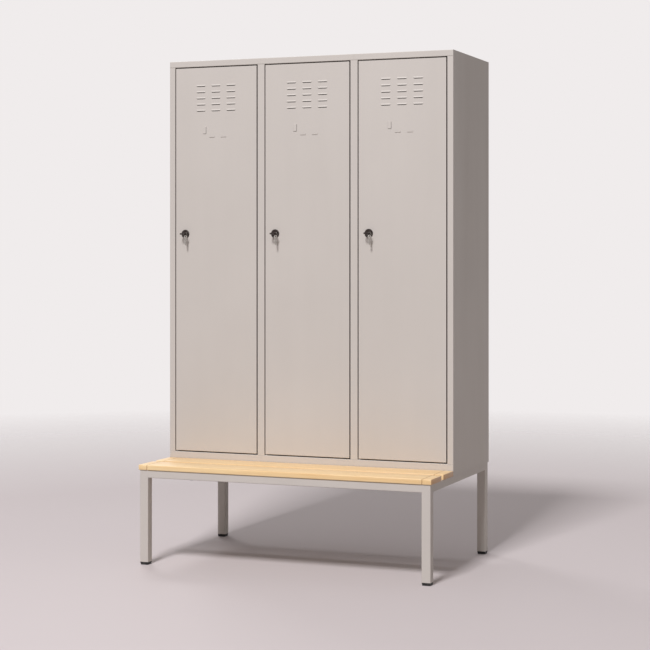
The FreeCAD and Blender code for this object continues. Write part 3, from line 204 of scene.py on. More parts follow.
# Shader building
MIX_FACTOR = 0
MIX_FIRST_VALUE, MIX_SECOND_VALUE, MIX_VALUE = 2, 3, 0
MIX_FIRST_COLOUR, MIX_SECOND_COLOUR, MIX_COLOUR = 6, 7, 2


def add(tree, kind, inputs=None, **settings):
    """Add a node with its settings, and set or link its inputs by name or number."""
    made = tree.nodes.new("ShaderNode" + kind)
    for name, value in settings.items():
        setattr(made, name, value)
    for name, value in (inputs or {}).items():
        fill(tree, made.inputs[name], value)
    return made


def fill(tree, socket, value):
    """Link a socket to another one, or set its value."""
    if isinstance(value, bpy.types.NodeSocket):
        tree.links.new(value, socket)
    else:
        socket.default_value = value


def reckon(tree, operation, first, second=0.0):
    """A Math node's value."""
    return add(tree, "Math", {0: first, 1: second}, operation=operation).outputs[0]


def weighed(tree, first, second, first_weight, second_weight):
    """Sum of two values, each times its weight."""
    return reckon(tree, "ADD", reckon(tree, "MULTIPLY", first, first_weight),
                  reckon(tree, "MULTIPLY", second, second_weight))


def spread(tree, value, start, stop, low=0.0, high=1.0):
    """Map a value that goes from start to stop onto low to high, and hold it at the ends."""
    ranged = add(tree, "MapRange", {"Value": value, "From Min": start, "From Max": stop,
                                    "To Min": low, "To Max": high})
    return ranged.outputs["Result"]


NOISE_LOW, NOISE_HIGH = 0.3, 0.7


def swing(tree, noise, low=0.0, high=1.0):
    """Map noise, most of which lies between two levels, onto low to high."""
    return spread(tree, noise, NOISE_LOW, NOISE_HIGH, low, high)


def blend_value(tree, factor, first, second):
    mixed = add(tree, "Mix", {MIX_FACTOR: factor, MIX_FIRST_VALUE: first, MIX_SECOND_VALUE: second},
                data_type="FLOAT")
    return mixed.outputs[MIX_VALUE]


def blend_colour(tree, factor, first, second, way="MIX"):
    mixed = add(tree, "Mix", {MIX_FACTOR: factor, MIX_FIRST_COLOUR: first, MIX_SECOND_COLOUR: second},
                data_type="RGBA", blend_type=way)
    return mixed.outputs[MIX_COLOUR]


def tinted(tree, colour, tint):
    """A colour times a tint."""
    return blend_colour(tree, 1.0, colour, with_alpha(tint), "MULTIPLY")


def cloud(tree, place, scale=1.0, detail=2.0, roughness=0.5):
    """Noise between 0 and 1 at a scale in bumps per metre."""
    noise = add(tree, "TexNoise", {"Vector": place, "Scale": scale, "Detail": detail, "Roughness": roughness})
    return noise.outputs["Fac"]


def stretched(tree, place, bumps):
    """Coordinates scaled to so many bumps per metre along X, Y and Z."""
    return add(tree, "Mapping", {"Vector": place, "Scale": bumps}).outputs["Vector"]


def facing(tree, axis):
    """Part of the surface's normal along an axis."""
    normal = add(tree, "NewGeometry").outputs["Normal"]
    return add(tree, "SeparateXYZ", {0: normal}).outputs[axis]


def new_group(name, inputs, outputs):
    """A node group that takes a place and named inputs, with its input and output sockets."""
    tree = bpy.data.node_groups.new(name, "ShaderNodeTree")
    tree.interface.new_socket("Place", in_out="INPUT", socket_type="NodeSocketVector")
    for socket_name, kind in inputs:
        tree.interface.new_socket(socket_name, in_out="INPUT", socket_type="NodeSocket" + kind)
    for socket_name, kind in outputs:
        tree.interface.new_socket(socket_name, in_out="OUTPUT", socket_type="NodeSocket" + kind)
    source = tree.nodes.new("NodeGroupInput")
    target = tree.nodes.new("NodeGroupOutput")
    return tree, source.outputs, target.inputs


def use(tree, group, **inputs):
    """Place a group in a material, with spaces in socket names written as underscores."""
    placed = tree.nodes.new("ShaderNodeGroup")
    placed.node_tree = effect(group)
    for name, value in inputs.items():
        fill(tree, placed.inputs[name.replace("_", " ")], value)
    return placed.outputs


SURFACE = (("Colour", "Color"), ("Roughness", "Float"), ("Height", "Float"))
MASK = (("Mask", "Float"),)


def coat_drift_group():
    """Slow drift of a paint's tone, with fine speckle and the ripples of orange peel."""
    tree, given, result = new_group(
        "coat_drift",
        (("Colour", "Color"), ("Patches", "Float"), ("Roughness", "Float"), ("Peel Scale", "Float")), SURFACE)
    place = given["Place"]
    drift = cloud(tree, place, scale=2.3, detail=3.0)
    streak = cloud(tree, stretched(tree, place, bumps=(9.0, 9.0, 0.8)), detail=4.0)
    speckle = cloud(tree, place, scale=1400.0, detail=1.0)
    both = weighed(tree, drift, streak, first_weight=0.6, second_weight=0.4)
    tone = spread(tree, both, start=0.35, stop=0.65)
    deeper = tinted(tree, given["Colour"], (0.86, 0.855, 0.85))
    toned = blend_colour(tree, reckon(tree, "MULTIPLY", tone, given["Patches"]), given["Colour"], deeper)
    fine = swing(tree, speckle, high=0.10)
    fill(tree, result["Colour"], blend_colour(tree, fine, toned, deeper))
    change = swing(tree, streak, low=-0.05, high=0.06)
    fill(tree, result["Roughness"], reckon(tree, "ADD", given["Roughness"], change))
    fill(tree, result["Height"], cloud(tree, place, scale=given["Peel Scale"]))
    return tree


def edge_lightening_group():
    """Mask of the convex edges, broken up in patches; paler paint there is rubbed wear, and on the powder
    coat also a painted highlight.
    """
    tree, given, result = new_group("edge_lightening", (("Radius", "Float"),), MASK)
    rounded = add(tree, "Bevel", {"Radius": given["Radius"]}, samples=4)
    plain = add(tree, "NewGeometry")
    alike = add(tree, "VectorMath", {0: rounded.outputs["Normal"], 1: plain.outputs["Normal"]},
                operation="DOT_PRODUCT").outputs["Value"]
    bend = spread(tree, alike, start=0.72, stop=0.99, low=1.0, high=0.0)
    patches = cloud(tree, given["Place"], scale=60.0, detail=4.0)
    broken = spread(tree, patches, start=0.35, stop=0.7, low=0.35)
    fill(tree, result["Mask"], reckon(tree, "MULTIPLY", bend, broken))
    return tree


def crevice_shade_group():
    """Mask of narrow gaps and tight corners, where the paint is darkened as painted shade."""
    tree, given, result = new_group("crevice_shade", (("Reach", "Float"),), MASK)
    openness = add(tree, "AmbientOcclusion", {"Distance": given["Reach"]}, samples=6).outputs["AO"]
    closed = spread(tree, openness, start=0.12, stop=0.5, low=1.0, high=0.0)
    patches = cloud(tree, given["Place"], scale=25.0, detail=3.0)
    uneven = swing(tree, patches, low=0.7)
    fill(tree, result["Mask"], reckon(tree, "MULTIPLY", closed, uneven))
    return tree


def settled_dust_group():
    """Mask of the faces that look up, uneven as dust lies."""
    tree, given, result = new_group("settled_dust", (("Amount", "Float"),), MASK)
    flat = spread(tree, facing(tree, "Z"), start=0.75, stop=0.98)
    patches = cloud(tree, given["Place"], scale=7.0, detail=5.0)
    uneven = swing(tree, patches, low=0.2)
    lying = reckon(tree, "MULTIPLY", flat, uneven)
    fill(tree, result["Mask"], reckon(tree, "MULTIPLY", lying, given["Amount"]))
    return tree


GRAIN_SWAY = {"Y": 0.05, "Z": 0.03}
DEEPEST_BOARD = 0.35


def timber_grain_group():
    """Straight grain along X with slow waves, fine fibres and short pores, and year rings on cut ends, which
    are darker partly as end grain and partly as painted shade.
    """
    tree, given, result = new_group(
        "timber_grain",
        (("Light", "Color"), ("Dark", "Color"), ("End", "Color"), ("Roughness", "Float"), ("Tone", "Float")),
        SURFACE)
    place = given["Place"]
    light = given["Light"]
    dark = given["Dark"]
    sway = cloud(tree, stretched(tree, place, bumps=(1.6, 7.0, 7.0)), detail=3.0)
    shifts = {axis: reckon(tree, "MULTIPLY", sway, reach) for axis, reach in GRAIN_SWAY.items()}
    shift = add(tree, "CombineXYZ", shifts).outputs[0]
    bent = add(tree, "VectorMath", {0: place, 1: shift}, operation="ADD").outputs[0]
    rings = cloud(tree, stretched(tree, bent, bumps=(1.2, 120.0, 95.0)), detail=3.0, roughness=0.6)
    fibres = cloud(tree, stretched(tree, bent, bumps=(14.0, 1500.0, 1500.0)))
    pores = cloud(tree, stretched(tree, bent, bumps=(90.0, 1900.0, 1900.0)), detail=1.0)
    late = spread(tree, rings, start=0.38, stop=0.72, high=0.62)
    fine = spread(tree, fibres, start=0.35, stop=0.75, high=0.22)
    fleck = spread(tree, pores, start=0.66, stop=0.78, high=0.42)
    deepest = blend_colour(tree, DEEPEST_BOARD, light, dark)
    long_wood = blend_colour(tree, given["Tone"], light, deepest)
    for amount in (late, fine, fleck):
        long_wood = blend_colour(tree, amount, long_wood, dark)
    years = add(tree, "TexWave", {"Vector": stretched(tree, bent, bumps=(0.0, 1.0, 2.2)), "Scale": 55.0,
                                  "Distortion": 3.0, "Detail": 3.0, "Detail Scale": 2.0},
                wave_type="RINGS", rings_direction="X").outputs["Fac"]
    end_grain_and_shade = blend_colour(tree, spread(tree, years, start=0.2, stop=0.9, high=0.45), given["End"], dark)
    dots = spread(tree, cloud(tree, place, scale=1500.0, detail=1.0), start=0.58, stop=0.7, high=0.5)
    end_grain_and_shade = blend_colour(tree, dots, end_grain_and_shade, tinted(tree, given["End"], (0.45, 0.4, 0.35)))
    # Faces across X take the darker end colour: partly end grain, partly painted shade.
    across = reckon(tree, "ABSOLUTE", facing(tree, "X"))
    cut_end = spread(tree, across, start=0.6, stop=0.9)
    fill(tree, result["Colour"], blend_colour(tree, cut_end, long_wood, end_grain_and_shade))
    change = swing(tree, fibres, low=-0.04, high=0.08)
    fill(tree, result["Roughness"], reckon(tree, "ADD", given["Roughness"], change))
    fill(tree, result["Height"], weighed(tree, fibres, fleck, first_weight=0.5, second_weight=-1.0))
    return tree


def drawn_metal_group():
    """Fine lines and smears of plated metal."""
    tree, given, result = new_group("drawn_metal", (("Colour", "Color"), ("Roughness", "Float")), SURFACE)
    place = given["Place"]
    lines = cloud(tree, stretched(tree, place, bumps=(60.0, 60.0, 2600.0)), detail=3.0)
    smear = cloud(tree, place, scale=160.0, detail=4.0)
    duller = tinted(tree, given["Colour"], (0.72, 0.71, 0.70))
    smeared = spread(tree, smear, start=0.3, stop=0.75, high=0.7)
    fill(tree, result["Colour"], blend_colour(tree, smeared, given["Colour"], duller))
    change = reckon(tree, "ADD", swing(tree, lines, low=-0.05, high=0.08),
                    swing(tree, smear, low=-0.04, high=0.08))
    fill(tree, result["Roughness"], reckon(tree, "ADD", given["Roughness"], change))
    fill(tree, result["Height"], lines)
    return tree


SCUFF_PALENESS = 0.12


def moulded_grain_group():
    """Spark-eroded grain of moulded plastic and rubber, a little scuffed."""
    tree, given, result = new_group("moulded_grain", (("Colour", "Color"), ("Roughness", "Float")), SURFACE)
    place = given["Place"]
    grain = cloud(tree, place, scale=1800.0)
    scuff = cloud(tree, place, scale=90.0, detail=5.0)
    paler = blend_colour(tree, SCUFF_PALENESS, given["Colour"], with_alpha((0.6, 0.59, 0.57)))
    scuffed = spread(tree, scuff, start=0.5, stop=0.8, high=0.8)
    fill(tree, result["Colour"], blend_colour(tree, scuffed, given["Colour"], paler))
    change = swing(tree, scuff, low=-0.06, high=0.10)
    fill(tree, result["Roughness"], reckon(tree, "ADD", given["Roughness"], change))
    fill(tree, result["Height"], grain)
    return tree


GROUP_MAKERS = {
    "coat_drift": coat_drift_group,
    "edge_lightening": edge_lightening_group,
    "crevice_shade": crevice_shade_group,
    "settled_dust": settled_dust_group,
    "timber_grain": timber_grain_group,
    "drawn_metal": drawn_metal_group,
    "moulded_grain": moulded_grain_group,
}


def effect(name):
    """A shared shader group, made the first time it is asked for."""
    return bpy.data.node_groups.get(name) or GROUP_MAKERS[name]()


# Finishes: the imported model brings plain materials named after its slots, so these get a prefix
OWN = "locker_"
PEEL_DEPTH = 0.00004
WOOD_GRAIN_DEPTH = 0.00012
METAL_LINE_DEPTH = 0.00002
MOULD_GRAIN_DEPTH = 0.00003
CASTING_GRAIN_DEPTH = 0.00002
CASTING_RUB_REACH = 0.0008
CASTING_RUB = 0.35
JUST_OVER_HALF = 0.505


def new_material(name):
    """An empty material with its surface shader and the piece's own coordinates."""
    made = bpy.data.materials.new(OWN + name)
    made.use_nodes = True
    tree = made.node_tree
    tree.nodes.clear()
    surface = tree.nodes.new("ShaderNodeBsdfPrincipled")
    output = tree.nodes.new("ShaderNodeOutputMaterial")
    fill(tree, output.inputs["Surface"], surface.outputs["BSDF"])
    place = tree.nodes.new("ShaderNodeTexCoord").outputs["Object"]
    return made, tree, surface, place


def dress(tree, surface, made, bump_depth):
    """Feed a group's colour, roughness and height to a surface shader."""
    fill(tree, surface.inputs["Base Color"], made["Colour"])
    fill(tree, surface.inputs["Roughness"], made["Roughness"])
    bump = add(tree, "Bump", {"Height": made["Height"], "Distance": bump_depth})
    fill(tree, surface.inputs["Normal"], bump.outputs["Normal"])


def powder_coat(name):
    """Satin powder coat with paler edges, partly rubbed wear and partly painted highlight, a little dust, and
    painted shade in its narrow gaps.
    """
    made, tree, surface, place = new_material(name)
    values = finish()
    coat = use(tree, "coat_drift", Place=place, Colour=with_alpha(values.coat_colour),
               Patches=values.coat_patches, Roughness=values.coat_roughness, Peel_Scale=1 / values.peel_grain)
    dress(tree, surface, coat, PEEL_DEPTH)
    # Convex edges turn paler: partly rubbed wear, partly a painted highlight.
    lighter_edges = use(tree, "edge_lightening", Place=place, Radius=values.edge_radius)["Mask"]
    lighter_edges = reckon(tree, "MULTIPLY", lighter_edges, values.edge_lightening)
    dusty = use(tree, "settled_dust", Place=place, Amount=values.dust)["Mask"]
    # Painted shade: narrow gaps and tight corners darken towards a near-black colour.
    gap_shade = use(tree, "crevice_shade", Place=place, Reach=values.gap_shade_reach)["Mask"]
    gap_shade = reckon(tree, "MULTIPLY", gap_shade, values.gap_shade)
    coloured = blend_colour(tree, lighter_edges, coat["Colour"], with_alpha(values.edge_wear_and_highlight_colour))
    coloured = blend_colour(tree, dusty, coloured, with_alpha(values.dust_colour))
    coloured = blend_colour(tree, gap_shade, coloured, with_alpha(values.gap_shade_colour))
    fill(tree, surface.inputs["Base Color"], coloured)
    surface.inputs["Specular IOR Level"].default_value = values.coat_gloss
    return made


WOOD_TONES = {"seat_wood_front": 0.25, "seat_wood_rear": 0.6, "seat_wood_cleat": 0.45}


def seat_wood(name):
    """Lacquered light hardwood, its grain along X."""
    made, tree, surface, place = new_material(name)
    values = finish()
    grain = use(tree, "timber_grain", Place=place, Light=with_alpha(values.wood_light),
                Dark=with_alpha(values.wood_dark), End=with_alpha(values.end_grain_and_shade),
                Roughness=values.wood_roughness, Tone=WOOD_TONES[name])
    dress(tree, surface, grain, WOOD_GRAIN_DEPTH)
    surface.inputs["Coat Weight"].default_value = values.lacquer
    surface.inputs["Coat Roughness"].default_value = values.lacquer_roughness
    return made


# Each metal and plastic has a colour of the finish settings and a middle roughness
METALS = {"zinc_steel": ("zinc_colour", 0.32), "pin_steel": ("pin_colour", 0.4),
          "rail_steel": ("chrome_colour", 0.12), "key_nickel": ("key_colour", 0.27)}
PLASTICS = {"glide_plastic": ("glide_colour", 0.5), "hook_plastic": ("hook_colour", 0.36),
            "bush_nylon": ("nylon_colour", 0.45), "buffer_rubber": ("rubber_colour", 0.7)}


def plated(tree, place, name):
    """The drawn metal group with a metal's colour and roughness."""
    colour, roughness = METALS[name]
    return use(tree, "drawn_metal", Place=place, Colour=with_alpha(getattr(finish(), colour)),
               Roughness=roughness)


def metal(name):
    """Plated or burnished metal."""
    made, tree, surface, place = new_material(name)
    dress(tree, surface, plated(tree, place, name), METAL_LINE_DEPTH)
    surface.inputs["Metallic"].default_value = 1.0
    return made


def plastic(name):
    """Moulded plastic or rubber."""
    made, tree, surface, place = new_material(name)
    colour, roughness = PLASTICS[name]
    grain = use(tree, "moulded_grain", Place=place, Colour=with_alpha(getattr(finish(), colour)),
                Roughness=roughness)
    dress(tree, surface, grain, MOULD_GRAIN_DEPTH)
    return made


def black_casting(tree, surface, place):
    """Feed a surface shader black plate with paler rubbed edges; returns its colour and roughness."""
    values = finish()
    grain = use(tree, "moulded_grain", Place=place, Colour=with_alpha(values.lock_colour),
                Roughness=values.lock_roughness)
    dress(tree, surface, grain, CASTING_GRAIN_DEPTH)
    lighter_edges = use(tree, "edge_lightening", Place=place, Radius=CASTING_RUB_REACH)["Mask"]
    lighter_edges = reckon(tree, "MULTIPLY", lighter_edges, CASTING_RUB)
    rubbed = blend_colour(tree, lighter_edges, grain["Colour"], with_alpha(values.lock_rub_colour))
    fill(tree, surface.inputs["Base Color"], rubbed)
    return rubbed, grain["Roughness"]


def lock_black(name):
    """Black plated zinc casting, dull with paler rubbed edges."""
    made, tree, surface, place = new_material(name)
    black_casting(tree, surface, place)
    surface.inputs["Metallic"].default_value = finish().lock_metal
    return made


def bow_back():
    """How far back the moulded bow of a packed key reaches along Y."""
    low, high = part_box("key_1")
    level = (low.z + high.z) / 2
    blade_reach = JUST_OVER_HALF * shape().key_thickness
    bow = [spot.co.y for spot in NODES["key_1"].data.vertices if abs(spot.co.z - level) > blade_reach]
    return max(bow)


def key_finish(name):
    """Black moulded bow, with a bare metal blade behind it."""
    made, tree, surface, place = new_material(name)
    black, black_roughness = black_casting(tree, surface, place)
    bare = plated(tree, place, "key_nickel")
    depth = add(tree, "SeparateXYZ", {0: place}).outputs["Y"]
    blade = reckon(tree, "GREATER_THAN", depth, bow_back())
    fill(tree, surface.inputs["Base Color"], blend_colour(tree, blade, black, bare["Colour"]))
    fill(tree, surface.inputs["Roughness"], blend_value(tree, blade, black_roughness, bare["Roughness"]))
    fill(tree, surface.inputs["Metallic"], blend_value(tree, blade, finish().lock_metal, 1.0))
    return made


MATERIAL_MAKERS = {"powder_coat": powder_coat, "lock_black": lock_black, "key_finish": key_finish}
MATERIAL_MAKERS.update(dict.fromkeys(WOOD_TONES, seat_wood))
MATERIAL_MAKERS.update(dict.fromkeys(METALS, metal))
MATERIAL_MAKERS.update(dict.fromkeys(PLASTICS, plastic))


def material(name):
    """A finish, made the first time it is asked for."""
    return bpy.data.materials.get(OWN + name) or MATERIAL_MAKERS[name](name)


def paint(names, finish_name):
    """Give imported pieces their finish."""
    for name in names:
        slots = NODES[name].data.materials
        slots.clear()
        slots.append(material(finish_name))


# Mesh building
PARALLEL = 0.99
ROUND_PROFILE = 0.5
PLATE_EDGE_STEPS = 2


def piece_from_mesh(name, mesh, finish_name, body, replaced=()):
    """Link a finished mesh as a piece of the object, on its body and with its finish."""
    made = bpy.data.objects.new(name, mesh)
    bpy.context.scene.collection.objects.link(made)
    mesh.name = name
    mesh.materials.append(material(finish_name))
    mesh.shade_smooth()
    mesh.set_sharp_from_angle(angle=CREASE)
    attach(made, body)
    if replaced:
        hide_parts(*replaced)


def mesh_from_bmesh(bm):
    """A mesh with its normals outwards, from a bmesh that is then freed."""
    bmesh.ops.recalc_face_normals(bm, faces=bm.faces)
    mesh = bpy.data.meshes.new("made")
    bm.to_mesh(mesh)
    bm.free()
    return mesh


def evaluated_mesh(holder):
    """Final mesh of a linked curve, or of a linked mesh with its modifiers."""
    bpy.context.view_layer.update()
    return bpy.data.meshes.new_from_object(holder.evaluated_get(bpy.context.evaluated_depsgraph_get()))


def curve_mesh(curve):
    """Mesh of a finished curve, which is then removed."""
    holder = bpy.data.objects.new("curve_holder", curve)
    bpy.context.scene.collection.objects.link(holder)
    mesh = evaluated_mesh(holder)
    bpy.data.objects.remove(holder)
    bpy.data.curves.remove(curve)
    return mesh


def add_block(bm, low, high):
    """A plain block between two corners; returns its edges."""
    middle = (Vector(low) + Vector(high)) / 2
    sizes = Vector(high) - Vector(low)
    matrix = Matrix.Translation(middle) @ Matrix.Diagonal((*sizes, 1.0))
    made = bmesh.ops.create_cube(bm, size=1.0, matrix=matrix)
    return list({edge for vert in made["verts"] for edge in vert.link_edges})


def runs_along(edge, axis):
    """True for an edge that is parallel to an axis by number."""
    along = edge.verts[1].co - edge.verts[0].co
    return abs(along[axis]) > PARALLEL * along.length


def ease(bm, edges, width, segments):
    """Round off edges."""
    bmesh.ops.bevel(bm, geom=edges, offset=width, segments=segments, profile=ROUND_PROFILE, affect="EDGES",
                    clamp_overlap=True)


def arc_points(middle, radius, start, end, count):
    """Points on an arc in a drawing, its angles in degrees."""
    points = []
    for step in range(count + 1):
        angle = math.radians(start + (end - start) * step / count)
        points.append((middle[0] + radius * math.cos(angle), middle[1] + radius * math.sin(angle)))
    return points


def plate_mesh(outlines, thickness, edge):
    """A flat plate with holes from closed outlines, its edges rounded."""
    curve = bpy.data.curves.new("plate", "CURVE")
    curve.dimensions = "2D"
    curve.fill_mode = "BOTH"
    curve.extrude = thickness / 2 - edge
    curve.bevel_depth = edge
    curve.bevel_resolution = PLATE_EDGE_STEPS
    curve.offset = -edge
    for points in outlines:
        spline = curve.splines.new("POLY")
        spline.points.add(len(points) - 1)
        for spot, (x, y) in zip(spline.points, points):
            spot.co = (x, y, 0.0, 1.0)
        spline.use_cyclic_u = True
    mesh = curve_mesh(curve)
    bm = bmesh.new()
    bm.from_mesh(mesh)
    bpy.data.meshes.remove(mesh)
    bmesh.ops.remove_doubles(bm, verts=bm.verts, dist=SAME_PLACE)
    return mesh_from_bmesh(bm)


def carve(mesh, cutter_bm):
    """Cut closed forms out of a mesh and return what is left."""
    cutter = bpy.data.objects.new("cutter", mesh_from_bmesh(cutter_bm))
    holder = bpy.data.objects.new("carved", mesh)
    for item in (cutter, holder):
        bpy.context.scene.collection.objects.link(item)
    cut = holder.modifiers.new("cut", "BOOLEAN")
    cut.operation = "DIFFERENCE"
    cut.object = cutter
    cut.solver = "EXACT"
    carved = evaluated_mesh(holder)
    bpy.data.objects.remove(holder)
    bpy.data.objects.remove(cutter)
    return carved


class LOCKER_OT_carcass(Operator):
    """Paint the folded sheets of the carcass, and finish their bushes and buffers"""

    bl_idname = "locker.carcass"
    bl_label = "Carcass"

    def execute(self, context):
        paint(("left_side_panel", "right_side_panel", "top_panel", "bottom_panel", "back_panel",
               "partition_left", "partition_right", "door_stops"), "powder_coat")
        paint(("hinge_bushes",), "bush_nylon")
        paint(("door_buffers",), "buffer_rubber")
        return {"FINISHED"}


class LOCKER_OT_doors(Operator):
    """Paint the louvred doors, and finish their pins"""

    bl_idname = "locker.doors"
    bl_label = "Doors"

    def execute(self, context):
        for bay in BAYS:
            paint((f"door_{bay}", f"door_stiffener_{bay}"), "powder_coat")
            paint((f"hinge_pins_{bay}",), "pin_steel")
        return {"FINISHED"}


# Split rings
RING_STEPS_PER_TURN = 72
RING_START = math.radians(60.0)
RING_WIRE_STEPS = 3


def split_ring(bay):
    """Hardened wire wound nearly twice round, its turns lying on each other."""
    values = shape()
    low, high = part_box(f"key_ring_{bay}")
    middle = (low + high) / 2
    packed_wire = (high.y - low.y) / 2
    radius = (high.x - low.x) / 2 - packed_wire
    steps = int(RING_STEPS_PER_TURN * values.ring_turns)
    curve = bpy.data.curves.new("ring_path", "CURVE")
    curve.dimensions = "3D"
    curve.bevel_depth = values.ring_wire
    curve.bevel_resolution = RING_WIRE_STEPS
    curve.use_fill_caps = True
    spline = curve.splines.new("POLY")
    spline.points.add(steps)
    for step, spot in enumerate(spline.points):
        share = step / steps
        angle = 2 * math.pi * values.ring_turns * share + RING_START
        along = (share - 0.5) * 2 * values.ring_wire * values.ring_turns
        along = max(-values.ring_wire, min(values.ring_wire, along))
        spot.co = (middle.x + radius * math.cos(angle), middle.y + along,
                   middle.z + radius * math.sin(angle), 1.0)
    piece_from_mesh(f"split_ring_{bay}", curve_mesh(curve), "key_nickel", f"hanging_keys_{bay}",
                    (f"key_ring_{bay}",))


# Spare keys: depths of the cuts from tip to bow, and other lengths
BITTING = (0.0012, 0.0021, 0.0008, 0.0024, 0.0016)
RIDGE_DROP = 0.0003
GROOVE_OVERRUN = 0.001
# Shares of half the blade's width
BLUNT_TIP = 0.25
NOSE_WIDTH = 0.9
# Shares of the distance between two cuts
FIRST_CUT = 0.35
CUT_FLAT = 0.18
LAST_RISE = 0.1
BLADE_SPARE = 0.6
# Shares of the blade's width, the key's thickness and the bow's radius
GROOVE_PLACE = 0.3
GROOVE_DEPTH = 0.22
GROOVE_STOP = 0.8
# Steps of the round stretches, and where the hole's outline ends in degrees
BOW_STEPS = 56
HOLE_STEPS = 35
HOLE_END = 350.0


def spare_outline(bow_centre, tip):
    """Outline of a spare key, drawn upright: round bow, plain back and cut front of the blade."""
    values = shape()
    half = values.key_blade / 2
    meeting = math.degrees(math.asin(half / values.key_bow))
    points = arc_points((0.0, bow_centre), values.key_bow, meeting - 90.0, 270.0 - meeting, BOW_STEPS)
    start = tip + half
    pitch = (bow_centre - values.key_bow - start) / (len(BITTING) + BLADE_SPARE)
    flat = pitch * CUT_FLAT
    points += [(-half, start), (-half * BLUNT_TIP, tip), (half * BLUNT_TIP, tip)]
    points.append((half * NOSE_WIDTH, start - pitch * FIRST_CUT))
    for number, depth in enumerate(BITTING):
        level = start + pitch * (number + FIRST_CUT)
        points += [(half - depth, level - flat), (half - depth, level + flat),
                   (half - RIDGE_DROP, level + pitch / 2)]
    points.append((half, start + pitch * (len(BITTING) + LAST_RISE)))
    return points


def spare_key(bay):
    """Cut key with a milled groove, hanging on the ring."""
    values = shape()
    low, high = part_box(f"spare_key_{bay}")
    middle = (low + high) / 2
    top = high.z - middle.z
    tip = low.z - middle.z
    bow_centre = top - values.key_bow
    hole_centre = (0.0, top - values.key_rim - values.key_hole)
    hole = arc_points(hole_centre, values.key_hole, 0.0, HOLE_END, HOLE_STEPS)
    plate = plate_mesh([spare_outline(bow_centre, tip), hole], values.key_thickness, values.key_edge)
    groove_side = -values.key_blade * GROOVE_PLACE
    groove_top = bow_centre - values.key_bow * GROOVE_STOP
    depth = values.key_thickness * GROOVE_DEPTH
    grooves = bmesh.new()
    for face in (-values.key_thickness / 2, values.key_thickness / 2):
        add_block(grooves, (groove_side, tip - GROOVE_OVERRUN, face - depth),
                  (groove_side + values.key_groove, groove_top, face + depth))
    mesh = carve(plate, grooves)
    turned = Matrix.Rotation(values.key_turn, 4, "Z")
    # The drawing's X and Y become Y and Z
    upright = Matrix(((0, 0, 1, 0), (1, 0, 0, 0), (0, 1, 0, 0), (0, 0, 0, 1)))
    mesh.transform(Matrix.Translation(middle) @ turned @ upright)
    piece_from_mesh(f"cut_key_{bay}", mesh, "key_nickel", f"hanging_keys_{bay}",
                    (f"spare_key_{bay}",))


class LOCKER_OT_locks(Operator):
    """Dress the cam locks and model their spare keys and split rings"""

    bl_idname = "locker.locks"
    bl_label = "Locks and keys"

    def execute(self, context):
        for bay in BAYS:
            paint((f"lock_housing_{bay}", f"lock_plug_{bay}"), "lock_black")
            paint((f"lock_cam_{bay}",), "zinc_steel")
            paint((f"key_{bay}",), "key_finish")
            split_ring(bay)
            spare_key(bay)
        return {"FINISHED"}


# Seat
LONG_EDGE_STEPS = 4
END_EDGE_STEPS = 2


def seat_plank(bm, low, high):
    """One plank along X with rounded long edges and eased ends."""
    values = shape()
    plank = bmesh.new()
    edges = add_block(plank, low, high)
    ease(plank, [edge for edge in edges if runs_along(edge, 0)], values.board_round, LONG_EDGE_STEPS)
    ends = [edge for edge in plank.edges if abs(edge.verts[0].co.x - edge.verts[1].co.x) < SAME_PLACE]
    ease(plank, ends, values.board_end_round, END_EDGE_STEPS)
    mesh = mesh_from_bmesh(plank)
    bm.from_mesh(mesh)
    bpy.data.meshes.remove(mesh)


class LOCKER_OT_seat(Operator):
    """Model the seat boards and their end cleats in lacquered wood"""

    bl_idname = "locker.seat"
    bl_label = "Wooden seat"

    def execute(self, context):
        seam = shape().board_seam
        outer_low, outer_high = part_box("seat_end_cleats")
        cleats = bmesh.new()
        for row in ("front", "rear"):
            low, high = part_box(f"seat_board_{row}")
            board = bmesh.new()
            seat_plank(board, low, high)
            piece_from_mesh(f"seat_plank_{row}", mesh_from_bmesh(board), f"seat_wood_{row}", "carcass",
                            (f"seat_board_{row}",))
            seat_plank(cleats, (outer_low.x, low.y, low.z), (low.x - seam, high.y, high.z))
            seat_plank(cleats, (high.x + seam, low.y, low.z), (outer_high.x, high.y, high.z))
        piece_from_mesh("seat_end_blocks", mesh_from_bmesh(cleats), "seat_wood_cleat", "carcass",
                        ("seat_end_cleats",))
        return {"FINISHED"}


# Welds of the bench: a bead is built of rings, and its heights are shares of its radius
BEAD_RING_SPACING = 0.0011
BEAD_RINGS_LEAST = 6
BEAD_SIDES = 8
RINGS_PER_RIPPLE = 3
RIPPLE_HEIGHT = 0.13
BEAD_END_SIZE = 0.45
BEAD_TAPER = 6.0
# A flush weld's rounding is a share of the tube's corner
FLUSH_SHARE = 0.98
FLUSH_STEPS = 4


def bead(bm, start, end, radius):
    """A rippled weld bead between two points."""
    along = Vector(end) - Vector(start)
    rings = max(BEAD_RINGS_LEAST, int(along.length / BEAD_RING_SPACING))
    axis = along.normalized()
    first = axis.orthogonal().normalized()
    second = axis.cross(first)
    loops = []
    for ring in range(rings + 1):
        share = ring / rings
        ripple = 1.0 + RIPPLE_HEIGHT * math.cos(ring * math.pi * 2 / RINGS_PER_RIPPLE)
        taper = min(1.0, BEAD_END_SIZE + BEAD_TAPER * min(share, 1.0 - share))
        reach = radius * ripple * taper
        middle = Vector(start) + along * share
        loop = []
        for corner in range(BEAD_SIDES):
            angle = 2 * math.pi * corner / BEAD_SIDES
            loop.append(bm.verts.new(middle + (first * math.cos(angle) + second * math.sin(angle)) * reach))
        loops.append(loop)
    for before, after in zip(loops, loops[1:]):
        for corner in range(BEAD_SIDES):
            turn = (corner + 1) % BEAD_SIDES
            bm.faces.new((before[corner], before[turn], after[turn], after[corner]))
    bm.faces.new(loops[0])
    bm.faces.new(loops[-1])


